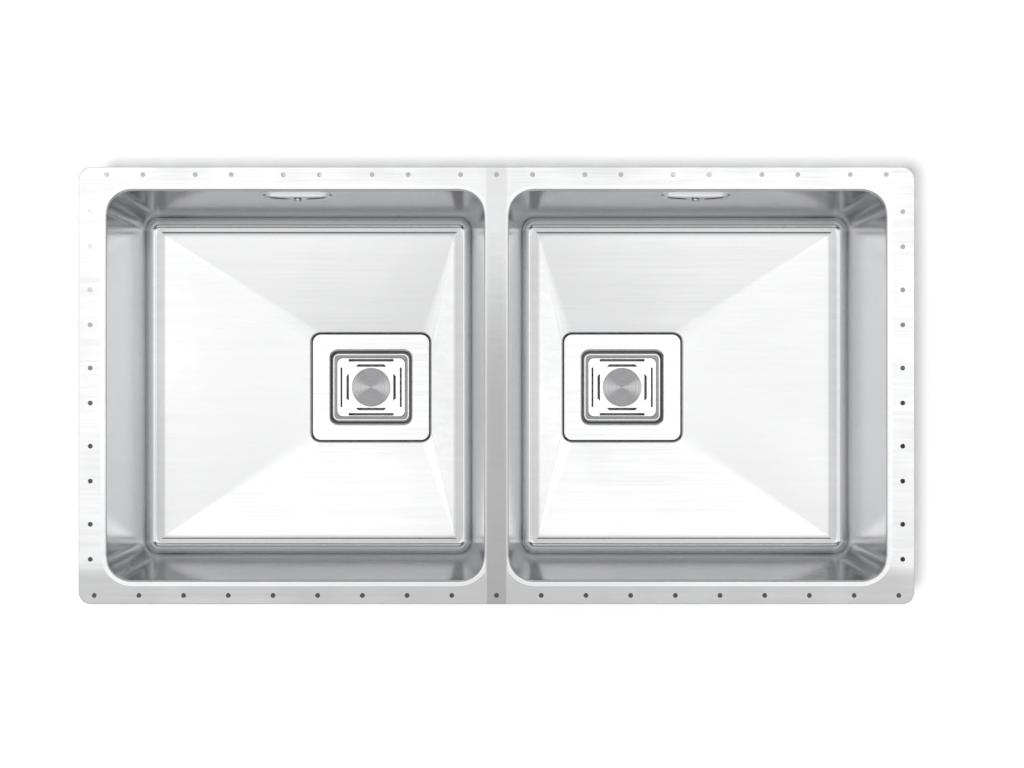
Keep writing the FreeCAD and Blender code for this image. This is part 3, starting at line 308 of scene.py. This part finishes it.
def makeSpunGrain(look):
    # rings about an upright axis through Centre, as a lathe leaves them; Rings are per metre
    tree, enter, leave = newGroup("spunGrain", [
        ("Vector", "NodeSocketVector", None),
        ("Centre", "NodeSocketVector", None),
        ("Rings", "NodeSocketFloat", 2200.0),
    ], ["Height", "Tone"])
    offset = vectorNode(tree, "SUBTRACT", enter.outputs["Vector"], enter.outputs["Centre"])
    flat = vectorNode(tree, "MULTIPLY", offset.outputs[0], (1, 1, 0))
    radius = vectorNode(tree, "LENGTH", flat.outputs[0]).outputs["Value"]
    rings = product(tree, radius, enter.outputs["Rings"])
    line = noiseNode(tree, rings, 1.0, look["ringDetail"], "W", noise_dimensions="1D").outputs[0]
    feed(tree, leave.inputs["Height"], line)
    feed(tree, leave.inputs["Tone"], rampNode(tree, line, *look["grainTone"]))
    return tree


def makeMouldSkin(look):
    # the fine matt skin of moulded plastic or rubber
    tree, enter, leave = newGroup("mouldSkin", [
        ("Vector", "NodeSocketVector", None),
        ("Scale", "NodeSocketFloat", 900.0),
    ], ["Height", "Tone"])
    grain = addNode(tree, "ShaderNodeTexVoronoi")
    feed(tree, grain.inputs["Vector"], enter.outputs["Vector"])
    feed(tree, grain.inputs["Scale"], enter.outputs["Scale"])
    cloudScale = product(tree, enter.outputs["Scale"], look["skinCloud"])
    cloud = noiseNode(tree, enter.outputs["Vector"], cloudScale, look["skinDetail"])
    feed(tree, leave.inputs["Height"], grain.outputs["Distance"])
    feed(tree, leave.inputs["Tone"], cloud.outputs[0])
    return tree


fineGrain = makeFineGrain(effectSet)
softSmudge = makeSmudge(effectSet)
spunGrain = makeSpunGrain(effectSet)
mouldSkin = makeMouldSkin(effectSet)
surfaceIor = 1.5


def placeGroup(tree, group, **values):
    node = addNode(tree, "ShaderNodeGroup", node_tree=group)
    for name, value in values.items():
        feed(tree, node.inputs[name], value)
    return node


def startMaterial(name, metallic):
    material = bpy.data.materials.new(name)
    material.use_nodes = True
    tree = material.node_tree
    tree.nodes.clear()
    shader = addNode(tree, "ShaderNodeBsdfPrincipled")
    feed(tree, addNode(tree, "ShaderNodeOutputMaterial").inputs["Surface"], shader.outputs[0])
    shader.inputs["Metallic"].default_value = metallic
    shader.inputs["IOR"].default_value = surfaceIor
    coordinates = addNode(tree, "ShaderNodeTexCoord")
    return material, tree, shader, coordinates.outputs["Object"]


def splitAxes(tree, place):
    axes = addNode(tree, "ShaderNodeSeparateXYZ")
    feed(tree, axes.inputs[0], place)
    return axes.outputs


def addBump(tree, shader, height, look):
    bump = addNode(tree, "ShaderNodeBump")
    bump.inputs["Strength"].default_value = look["bump"]
    bump.inputs["Distance"].default_value = look["bumpDepth"]
    feed(tree, bump.inputs["Height"], height)
    feed(tree, shader.inputs["Normal"], bump.outputs["Normal"])


# Steel. A mark (painted shade, and on the strip between the bowls the ground flat as well) is a product of
# ramps, and where marks meet the stronger one counts.
# A ramp here is what it runs over, its start and end, and the share of the mark's dark tone before and after
plainSteel = {
    "colour": (0.83, 0.832, 0.838), "groundAndShadeTone": (0.06, 0.06, 0.062), "rough": 0.16, "roughSpread": 0.05,
    "along": 14.0, "across": 1500.0, "grainDark": 0.93, "bump": 0.05, "bumpDepth": 0.0002,
    "smudgeScale": 8.0, "smudgeSpread": 0.22, "smudgeDark": 0.9, "smudgeShare": 0.35, "smudgeRough": 0.04,
}
groundShadeStrip = ("offMiddle", 0.009, 0.0125, 1.0, 0.0)    # ground flat between the bowls, darkened further as painted shade
steelSet = {
    "deckSteel": dict(plainSteel, rough=0.17, grainDark=0.96, bump=0.03, smudgeScale=14.0, marks=[
        # painted shade on the strip between the bowls, darker at the front than at the rear
        [groundShadeStrip, ("Y", 0.0, 0.19, 0.5, 0.12)],
        [("Y", -0.2, -0.18, 0.32, 0.0)],                # painted shade: the deck darker towards its front edge
    ]),
    "bowlSteel": dict(plainSteel, rough=0.15, roughSpread=0.03, along=9.0, across=1300.0, grainDark=0.975,
                      bump=0.018, smudgeScale=5.0, marks=[
        # painted shade: a dark ring where the floor meets its bend
        [("inset", 23.5, 25.5, 0.0, 0.36), ("inset", 32.0, 36.0, 1.0, 0.0), ("Z", -0.186, -0.1875, 0.0, 1.0)],
        # painted shade on the strip between the bowls, darker at the front than at the rear
        [groundShadeStrip, ("Y", 0.0, 0.19, 0.5, 0.14)],
    ]),
    # painted shade low in the gaps round the well and the lid, darkest at their foot
    "plateSteel": dict(plainSteel, colour=(0.9, 0.902, 0.906), marks=[[("Z", -0.1992, -0.1976, 0.94, 0.0)]]),
    "lidSteel": dict(plainSteel, colour=(0.93, 0.932, 0.935), rough=0.13,
                     marks=[[("Z", -0.2031, -0.2021, 0.75, 0.0)]]),
    "coverSteel": dict(plainSteel, colour=(0.88, 0.882, 0.885), rough=0.14),
    # painted shade: the basket's steel is dark so that the slots above it look black, as the shade inside the
    # well
    "basketShadedSteel": dict(plainSteel, colour=(0.42, 0.422, 0.426), rough=0.34),
    "screwSteel": dict(plainSteel, colour=(0.74, 0.742, 0.746), rough=0.2, across=2600.0),
}


def markSource(tree, axes, over):
    if over == "inset":
        # mm inside the mouth's outline, which the bowls' meshes carry
        return addNode(tree, "ShaderNodeAttribute", attribute_name="inset").outputs["Fac"]
    if over == "offMiddle":
        return mathNode(tree, "ABSOLUTE", axes["X"])
    return axes[over]


def markShare(tree, place, marks):
    axes = splitAxes(tree, place)
    shares = []
    for mark in marks:
        ramps = [rampNode(tree, markSource(tree, axes, over), *ramp) for over, *ramp in mark]
        shares.append(product(tree, *ramps))
    return greatest(tree, *shares)


def steelMaterial(name, look):
    # brushed steel: fine grain in tone, roughness and bump, with soft patches of handling
    material, tree, shader, place = startMaterial(name, 1.0)
    grain = placeGroup(tree, fineGrain, Vector=place, Along=look["along"], Across=look["across"])
    smudge = placeGroup(tree, softSmudge, Vector=place, Scale=look["smudgeScale"],
                        Spread=look["smudgeSpread"])
    streaked = mixColour(tree, grain.outputs["Tone"], rgba(look["colour"], look["grainDark"]),
                         rgba(look["colour"]))
    amount = product(tree, smudge.outputs["Mask"], look["smudgeShare"])
    colour = mixColour(tree, amount, streaked, rgba(look["colour"], look["smudgeDark"]))
    if "marks" in look:
        # the marks darken the steel towards a dark tone: painted shade, and the ground flat between the bowls
        colour = mixColour(tree, markShare(tree, place, look["marks"]), colour, rgba(look["groundAndShadeTone"]))
    feed(tree, shader.inputs["Base Color"], colour)
    rough = rampNode(tree, grain.outputs["Tone"], 0.0, 1.0, look["rough"] + look["roughSpread"],
                     look["rough"], smooth=False)
    hazy = product(tree, smudge.outputs["Mask"], look["smudgeRough"])
    feed(tree, shader.inputs["Roughness"], mathNode(tree, "ADD", rough, hazy))
    addBump(tree, shader, grain.outputs["Height"], look)
    return material


def spunMaterial(name, centre, look):
    # steel turned on a lathe, which reflects in bright and dark sectors
    material, tree, shader, place = startMaterial(name, 1.0)
    grain = placeGroup(tree, spunGrain, Vector=place, Centre=centre, Rings=look["rings"])
    streaked = mixColour(tree, grain.outputs["Tone"], rgba(look["colour"], look["grainDark"]),
                         rgba(look["colour"]))
    feed(tree, shader.inputs["Base Color"], streaked)
    rough = rampNode(tree, grain.outputs["Tone"], 0.0, 1.0, look["rough"] + look["roughSpread"],
                     look["rough"], smooth=False)
    feed(tree, shader.inputs["Roughness"], rough)
    shader.inputs["Anisotropic"].default_value = look["anisotropic"]
    shader.inputs["Anisotropic Rotation"].default_value = look["anisotropicTurn"]
    tangent = addNode(tree, "ShaderNodeTangent", direction_type="RADIAL", axis="Z")
    feed(tree, shader.inputs["Tangent"], tangent.outputs[0])
    addBump(tree, shader, grain.outputs["Height"], look)
    return material


def mouldedMaterial(name, look):
    # plastic or rubber with its mould skin, a little dust in the tone and a drifting gloss
    material, tree, shader, place = startMaterial(name, 0.0)
    skin = placeGroup(tree, mouldSkin, Vector=place, Scale=look["scale"])
    smudge = placeGroup(tree, softSmudge, Vector=place, Scale=look["dustScale"], Spread=look["dustSpread"])
    amount = product(tree, smudge.outputs["Mask"], look["dustShare"])
    colour = mixColour(tree, amount, rgba(look["colour"]), rgba(look["dust"]))
    feed(tree, shader.inputs["Base Color"], colour)
    rough = rampNode(tree, skin.outputs["Tone"], *look["toneRange"], look["rough"] - look["roughSpread"],
                     look["rough"] + look["roughSpread"])
    feed(tree, shader.inputs["Roughness"], rough)
    addBump(tree, shader, skin.outputs["Height"], look)
    return material


plainMould = {
    "dustShare": 0.3, "dustSpread": 0.25, "toneRange": (0.3, 0.7), "roughSpread": 0.05, "bumpDepth": 0.0003,
}
mouldedSet = {
    "gasketRubber": dict(plainMould, colour=(0.03, 0.03, 0.032), dust=(0.09, 0.09, 0.088), dustShare=0.35,
                         dustScale=40.0, rough=0.62, scale=1500.0, bump=0.25),
    "padRubber": dict(plainMould, colour=(0.085, 0.087, 0.092), dust=(0.16, 0.16, 0.158), dustShare=0.4,
                      dustScale=25.0, rough=0.75, scale=700.0, bump=0.4, bumpDepth=0.0006),
    "bodyPlastic": dict(plainMould, colour=(0.78, 0.78, 0.765), dust=(0.66, 0.655, 0.63),
                        dustScale=22.0, rough=0.42, scale=1100.0, bump=0.12),
    "pipePlastic": dict(plainMould, colour=(0.7, 0.7, 0.69), dust=(0.6, 0.6, 0.58),
                        dustScale=30.0, rough=0.36, scale=1300.0, bump=0.1, bumpDepth=0.0002),
}
steels = {name: steelMaterial(name, look) for name, look in steelSet.items()}
moulded = {name: mouldedMaterial(name, look) for name, look in mouldedSet.items()}
print("steels and mouldings made:", len(steels) + len(moulded))

# The floor: pale paper, with a dark painted shadow under the sink, where its holes look down on it
floorSet = {
    "below": 0.0005,
    "half": 6.0,
    "colour": (0.86, 0.86, 0.86),
    "cloudColour": (0.8, 0.8, 0.8),
    "cloudScale": 2.0,
    "cloudSpread": 0.3,
    "cloudShare": 0.06,
    "rough": 0.9,
    "cameraGlow": 0.17,
    "paintedShadowColour": (0.1, 0.1, 0.1),
    # ramps from the painted shadow to the open floor: start, end, and the share of open floor before and
    # after
    "openSide": (0.468, 0.479, 0.0, 1.0),
    "openEnd": (0.243, 0.2505, 0.0, 1.0),
    "openRear": (-0.06, 0.2, 0.0, 0.9),
}


def floorMaterial(look):
    material, tree, shader, place = startMaterial("palePaper", 0.0)
    paper = placeGroup(tree, softSmudge, Vector=place, Scale=look["cloudScale"], Spread=look["cloudSpread"])
    pale = mixColour(tree, product(tree, paper.outputs["Mask"], look["cloudShare"]), rgba(look["colour"]),
                     rgba(look["cloudColour"]))
    axes = splitAxes(tree, place)
    openShare = greatest(tree, rampNode(tree, axes["Y"], *look["openRear"]),
                         rampNode(tree, mathNode(tree, "ABSOLUTE", axes["X"]), *look["openSide"]),
                         rampNode(tree, mathNode(tree, "ABSOLUTE", axes["Y"]), *look["openEnd"]))
    # painted shadow: the floor's colour is dark under the sink and paler to the rear
    feed(tree, shader.inputs["Base Color"], mixColour(tree, openShare, rgba(look["paintedShadowColour"]), pale))
    shader.inputs["Roughness"].default_value = look["rough"]
    shader.inputs["Specular IOR Level"].default_value = 0.0
    # the camera sees the floor a little paler, which adds no light to the sink, and not in the painted shadow
    # under it
    rays = addNode(tree, "ShaderNodeLightPath")
    glow = product(tree, rays.outputs["Is Camera Ray"], look["cameraGlow"], openShare)
    glowColour = addNode(tree, "ShaderNodeCombineColor")
    for channel in range(3):
        feed(tree, glowColour.inputs[channel], glow)
    feed(tree, shader.inputs["Emission Color"], glowColour.outputs[0])
    shader.inputs["Emission Strength"].default_value = 1.0
    return material


floorHalf = floorSet["half"]
floorMesh = bpy.data.meshes.new("paleFloor")
floorMesh.from_pydata([(-floorHalf, -floorHalf, 0), (floorHalf, -floorHalf, 0), (floorHalf, floorHalf, 0),
                       (-floorHalf, floorHalf, 0)], [], [(0, 1, 2, 3)])
floorMesh.materials.append(floorMaterial(floorSet))
floor = bpy.data.objects.new("paleFloor", floorMesh)
floor.location.z = cadBounds[0][2] - floorSet["below"]
scene.collection.objects.link(floor)
print("floor laid")

# Mesh helpers
weldDistance = 1e-6
sliverDistance = 1e-7
coarseSteps = {"cornerSteps": 8, "sideSteps": 4}


def newPiece(name, mesh, body, material, slot, *replaced):
    piece = bpy.data.objects.new(name, mesh)
    scene.collection.objects.link(piece)
    mesh.materials.clear()
    mesh.materials.append(material)
    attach(piece, body)
    if replaced:
        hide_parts(*replaced)
    return piece


def smoothMesh(mesh, sharpAngle):
    mesh.shade_smooth()
    mesh.set_sharp_from_angle(angle=math.radians(sharpAngle))


def appliedMesh(piece):
    # the mesh with the piece's modifiers applied
    bpy.context.view_layer.update()
    shown = piece.evaluated_get(bpy.context.evaluated_depsgraph_get())
    mesh = bpy.data.meshes.new_from_object(shown)
    piece.modifiers.clear()
    return mesh


def reworkMesh(mesh, *changes):
    work = bmesh.new()
    work.from_mesh(mesh)
    for change in changes:
        change(work)
    work.to_mesh(mesh)
    work.free()
    return mesh


def weldPoints(work):
    bmesh.ops.remove_doubles(work, verts=work.verts, dist=weldDistance)


def dropSlivers(work):
    bmesh.ops.dissolve_degenerate(work, edges=work.edges, dist=sliverDistance)


def fillHoles(work):
    bmesh.ops.holes_fill(work, edges=work.edges)


def turnOutwards(work):
    bmesh.ops.recalc_face_normals(work, faces=work.faces)


def cutWith(mesh, cutter):
    # the mesh less the cutter mesh
    piece = bpy.data.objects.new("cutWork", mesh)
    helper = bpy.data.objects.new("cutter", cutter)
    for work in (piece, helper):
        scene.collection.objects.link(work)
    modifier = piece.modifiers.new("cut", "BOOLEAN")
    modifier.operation = "DIFFERENCE"
    modifier.solver = "EXACT"
    modifier.object = helper
    result = appliedMesh(piece)
    for work in (helper, piece):
        bpy.data.objects.remove(work)
    return reworkMesh(result, weldPoints, dropSlivers)


def ringMesh(name, rings):
    # quads between rings that share one point count
    count = len(rings[0])
    faces = []
    for row in range(len(rings) - 1):
        near, far = row * count, (row + 1) * count
        for step in range(count):
            after = (step + 1) % count
            faces.append((near + step, near + after, far + after, far + step))
    mesh = bpy.data.meshes.new(name)
    mesh.from_pydata([point for ring in rings for point in ring], [], faces)
    mesh.update()
    return mesh


def roundedRing(halfWide, halfDeep, corner, z, across=0.0, along=0.0, cornerSteps=20, sideSteps=44):
    # anticlockwise from the right front corner, with the same point count for every ring; sizes in mm
    corners = []
    for signX, signY, start in ((1, -1, -90), (1, 1, 0), (-1, 1, 90), (-1, -1, 180)):
        arc = []
        for step in range(cornerSteps + 1):
            angle = math.radians(start + 90 * step / cornerSteps)
            arc.append((signX * (halfWide - corner) + corner * math.cos(angle),
                        signY * (halfDeep - corner) + corner * math.sin(angle)))
        corners.append(arc)
    ring = []
    for index, arc in enumerate(corners):
        ring.extend(arc)
        first = arc[-1]
        last = corners[(index + 1) % len(corners)][0]
        for step in range(1, sideSteps):
            share = step / sideSteps
            ring.append((first[0] + (last[0] - first[0]) * share, first[1] + (last[1] - first[1]) * share))
    return [Vector((x + across, y + along, z)) * mm for x, y in ring]


# Bowls: pressed shells with soft creases, in mm
bowlSet = {
    "centre": 207.0, "halfWide": 194.0, "halfDeep": 200.0, "drop": 188.0, "lean": 16.0, "sheet": 1.2,
    "cornerTop": 26.0, "cornerFoot": 14.0, "cornerLeast": 0.5, "sharpAngle": 32,
    # the land round the mouth, its roll, the walls and the bend at their foot
    "rimLand": 4.0, "rimEase": 0.4, "rimRoll": 2.5, "rollSteps": 6,
    "wallShares": (0.03, 0.2, 0.4, 0.6, 0.8, 0.97), "bend": 12.0, "bendSteps": 18,
    # the small step pressed in at the floor's edge: inset and drop below the bend's foot
    "edgeStep": ((29.0, 0.0), (30.0, 0.03), (30.7, 0.12), (31.4, 0.27), (32.1, 0.36)), "edgeDrop": 0.4,
    # the floor's creased planes
    "floorInset": 33.0, "fall": 8.0, "floorShares": (0.0, 0.012, 0.03, 0.06, 0.3, 0.6, 0.9, 0.97, 0.99, 1.0),
    # the step round the drain, and its hole
    "drainAcross": 67.5, "drainAlong": -2.0, "stepWide": 67.5, "stepDeep": 61.5, "stepCorner": 12.0,
    "stepSlope": 3.0, "stepDrop": 4.0, "stepShares": (0.12, 0.5, 0.88, 1.0), "stepFoot": 1.0,
    "holeWide": 47.0, "holeDeep": 42.0, "holeCorner": 11.0,
    # the overflow's slot: half sizes, middle, and its reach to either side of the rear edge
    "slotWide": 30.0, "slotTall": 7.0, "slotCorner": 6.0, "slotMiddle": -30.0, "slotReach": (-8.0, 4.0),
    "insetCorner": 34.0,    # corner of the outline that storeInset measures from
}


def bowlRings(look, sign):
    # the inner surface, from the land round the mouth to the edge of the drain hole
    wide, deep, roll, drop = look["halfWide"], look["halfDeep"], look["rimRoll"], look["drop"]
    bend, least = look["bend"], look["cornerLeast"]
    slope = look["lean"] / drop
    lean = math.atan(slope)

    def mouthRing(out, z):
        return roundedRing(wide + out, deep + out, look["cornerTop"] + out, z)

    def wallCorner(z):
        return look["cornerTop"] + (look["cornerFoot"] - look["cornerTop"]) * -z / drop

    rings = [mouthRing(roll + look["rimLand"], 0.0), mouthRing(roll + look["rimEase"], 0.0)]
    for step in range(look["rollSteps"] + 1):
        angle = (quarterTurn - lean) * step / look["rollSteps"]
        rings.append(mouthRing(roll * (1 - math.sin(angle)), -roll * (1 - math.cos(angle))))
    # the leaning walls and the bend at their foot
    bendX = (bend + (drop - bend) * math.sin(lean)) / math.cos(lean)
    bendZ = bend - drop
    bendTop = bendZ - bend * math.sin(lean)
    for share in look["wallShares"]:
        z = -roll + (bendTop + roll) * share
        rings.append(roundedRing(wide + z * slope, deep + z * slope, wallCorner(z), z))
    for step in range(look["bendSteps"] + 1):
        angle = lean + (quarterTurn - lean) * step / look["bendSteps"]
        inset = bendX - bend * math.cos(angle)
        z = bendZ - bend * math.sin(angle)
        corner = max(wallCorner(z) - (inset + z * slope), least)
        rings.append(roundedRing(wide - inset, deep - inset, corner, z))
    # the floor's edge, then creased planes that fall to the step round the drain
    edgeCorner = look["cornerFoot"] + look["lean"]
    for inset, step in look["edgeStep"]:
        rings.append(roundedRing(wide - inset, deep - inset, max(edgeCorner - inset, least), -drop - step))
    inset = look["floorInset"]
    towards, along = -sign * look["drainAcross"], look["drainAlong"]
    stepWide, stepDeep, stepCorner = look["stepWide"], look["stepDeep"], look["stepCorner"]
    stepTop = -drop - look["fall"]
    start = (wide - inset, deep - inset, max(edgeCorner - inset, least), -drop - look["edgeDrop"], 0.0, 0.0)
    end = (stepWide, stepDeep, stepCorner, stepTop, towards, along)
    for share in look["floorShares"]:
        rings.append(roundedRing(*[a + (b - a) * share for a, b in zip(start, end)]))
    for share in look["stepShares"]:
        inset = look["stepSlope"] * share
        rings.append(roundedRing(stepWide - inset, stepDeep - inset, stepCorner - inset,
                                 stepTop - look["stepDrop"] * share, towards, along))
    # the step's flat foot and the hole in it
    foot = stepTop - look["stepDrop"]
    inset = look["stepSlope"] + look["stepFoot"]
    corner = stepCorner - look["stepSlope"] - look["stepFoot"] / 2
    rings.append(roundedRing(stepWide - inset, stepDeep - inset, corner, foot, towards, along))
    rings.append(roundedRing(look["holeWide"], look["holeDeep"], look["holeCorner"], foot, towards, along))
    return rings


def storeInset(mesh, look):
    # how far each point lies inside the mouth's outline, in mm, for the material
    inset = mesh.attributes.new("inset", "FLOAT", "POINT")
    corner = look["insetCorner"]
    for index, vertex in enumerate(mesh.vertices):
        outX = abs(vertex.co.x) / mm - (look["halfWide"] - corner)
        outY = abs(vertex.co.y) / mm - (look["halfDeep"] - corner)
        beyond = math.hypot(max(outX, 0), max(outY, 0)) + min(max(outX, outY), 0)
        inset.data[index].value = corner - beyond


def slotCutter(look):
    # a rounded slot through the rear wall
    flat = roundedRing(look["slotWide"], look["slotTall"], look["slotCorner"], 0.0, **coarseSteps)
    middle = look["slotMiddle"] * mm
    rings = []
    for reach in look["slotReach"]:
        y = (look["halfDeep"] + reach) * mm
        rings.append([Vector((point.x, y, point.y + middle)) for point in flat])
    return reworkMesh(ringMesh("slotCutter", rings), fillHoles, turnOutwards)


def makeBowl(side, sign):
    work = bpy.data.objects.new("bowlWork", ringMesh(f"bowlShell_{side}", bowlRings(bowlSet, sign)))
    scene.collection.objects.link(work)
    thick = work.modifiers.new("sheet", "SOLIDIFY")
    thick.thickness = bowlSet["sheet"] * mm
    thick.offset = -1
    thick.use_even_offset = True
    shell = appliedMesh(work)
    bpy.data.objects.remove(work)
    shell = cutWith(shell, slotCutter(bowlSet))
    storeInset(shell, bowlSet)
    shell.transform(Matrix.Translation((sign * bowlSet["centre"] * mm, 0, 0)))
    smoothMesh(shell, bowlSet["sharpAngle"])
    piece = newPiece(f"bowlShell_{side}", shell, "sink", steels["bowlSteel"], "bowl_steel", f"bowl_{side}")
    evened = piece.modifiers.new("evened", "WEIGHTED_NORMAL")
    evened.keep_sharp = True


for side, sign in sides.items():
    makeBowl(side, sign)
print("bowls pressed")

# Damping pads: embossed rubber mats on the leaning walls, in mm
padSet = {
    "long": 230.0, "tall": 104.0, "thick": 2.5, "web": 1.9, "corner": 8.0, "middle": -92.0,
    "cells": (23, 10), "cellGap": 0.9, "cellSlope": 0.5, "sharpAngle": 20,
    "cutMargin": 20.0, "cutDepth": 6.0, "cutInwards": 0.02,    # the frame that trims the mat to its outline
}


def padMesh(look):
    # a waffle of raised squares; x along the mat, y up, z out of the wall
    across, up = look["cells"]
    sheet = bmesh.new()
    bmesh.ops.create_grid(sheet, x_segments=across, y_segments=up, size=0.5)    # one unit square
    for vertex in sheet.verts:
        x, y = vertex.co.x * look["long"], vertex.co.y * look["tall"] + look["middle"]
        vertex.co = Vector((x, y, look["web"])) * mm
    cells = list(sheet.faces)
    raised = (look["thick"] - look["web"]) * mm
    bmesh.ops.inset_individual(sheet, faces=cells, thickness=look["cellGap"] * mm)
    bmesh.ops.inset_individual(sheet, faces=cells, thickness=look["cellSlope"] * mm, depth=raised)
    rim = bmesh.ops.extrude_face_region(sheet, geom=sheet.faces[:] + sheet.edges[:] + sheet.verts[:])
    for item in rim["geom"]:
        if isinstance(item, bmesh.types.BMVert):
            item.co.z = 0.0
    turnOutwards(sheet)
    mesh = bpy.data.meshes.new("padMat")
    sheet.to_mesh(mesh)
    sheet.free()
    return mesh


def padOutline(look):
    # everything outside the rounded outline, to be cut away
    halfLong, halfTall, corner = look["long"] / 2, look["tall"] / 2, look["corner"]
    margin, depth, inwards = look["cutMargin"], look["cutDepth"], look["cutInwards"]
    outside = roundedRing(halfLong + margin, halfTall + margin, corner + margin, 0.0, **coarseSteps)
    inside = roundedRing(halfLong - inwards, halfTall - inwards, corner, 0.0, **coarseSteps)
    rings = []
    for ring, z in ((outside, depth), (outside, -depth), (inside, -depth), (inside, depth), (outside, depth)):
        rings.append([Vector((point.x, point.y + look["middle"] * mm, z * mm)) for point in ring])
    return reworkMesh(ringMesh("padOutline", rings), weldPoints, turnOutwards)


padShape = cutWith(padMesh(padSet), padOutline(padSet))
lean = math.atan(bowlSet["lean"] / bowlSet["drop"])
upright = Matrix.Rotation(quarterTurn, 4, "X")
for side, sign in sides.items():
    centre = sign * bowlSet["centre"]
    frontWall = -bowlSet["halfDeep"] - bowlSet["sheet"]
    sideWall = centre + sign * (bowlSet["halfWide"] + bowlSet["sheet"])
    # the front pad faces -Y and the side pad faces outwards
    places = {
        "front_pad": (Matrix.Translation(Vector((centre, frontWall, 0)) * mm)
                      @ Matrix.Rotation(lean, 4, "X") @ upright),
        "side_pad": (Matrix.Translation(Vector((sideWall, 0, 0)) * mm)
                     @ Matrix.Rotation(sign * lean, 4, "Y") @ Matrix.Rotation(sign * quarterTurn, 4, "Z")
                     @ upright),
    }
    for name, place in places.items():
        mesh = padShape.copy()
        mesh.transform(place)
        smoothMesh(mesh, padSet["sharpAngle"])
        newPiece(f"{name}Mat_{side}", mesh, "sink", moulded["padRubber"], "pad_rubber", f"{name}_{side}")
print("pads stuck on")

# Pieces whose CAD meshes are kept
finishes = {
    "waste_flange": steels["plateSteel"],
    "strainer_lid": steels["lidSteel"],
    "overflow_cover": steels["coverSteel"],
    "strainer_basket": steels["basketShadedSteel"],
    "basket_knob": steels["screwSteel"],
    "clamp_screw": steels["screwSteel"],
    "cover_screw": steels["screwSteel"],
    "plug_seal": moulded["gasketRubber"],
    "flange_gasket": moulded["gasketRubber"],
    "body_gasket": moulded["gasketRubber"],
    "overflow_gasket": moulded["gasketRubber"],
    "pipe_rings": moulded["gasketRubber"],
    "waste_body": moulded["bodyPlastic"],
    "overflow_housing": moulded["bodyPlastic"],
    "overflow_pipe": moulded["pipePlastic"],
}
discSet = {
    "colour": (0.88, 0.882, 0.888), "rough": 0.36, "roughSpread": 0.06, "grainDark": 0.5, "rings": 2200.0,
    "anisotropic": 0.95, "anisotropicTurn": 0.25, "bump": 0.3, "bumpDepth": 0.0002,
}


def dress(node, material):
    mesh = nodes[node].data
    mesh.materials.clear()
    mesh.materials.append(material)


dress("deck_flange", steels["deckSteel"])
for side in sides:
    for piece, finish in finishes.items():
        dress(f"{piece}_{side}", finish)
    low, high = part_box(f"lid_disc_{side}")
    centre = tuple((a + b) / 2 for a, b in zip(low, high))
    dress(f"lid_disc_{side}", spunMaterial(f"spunSteel_{side}", centre, discSet))
print("frame dressed")
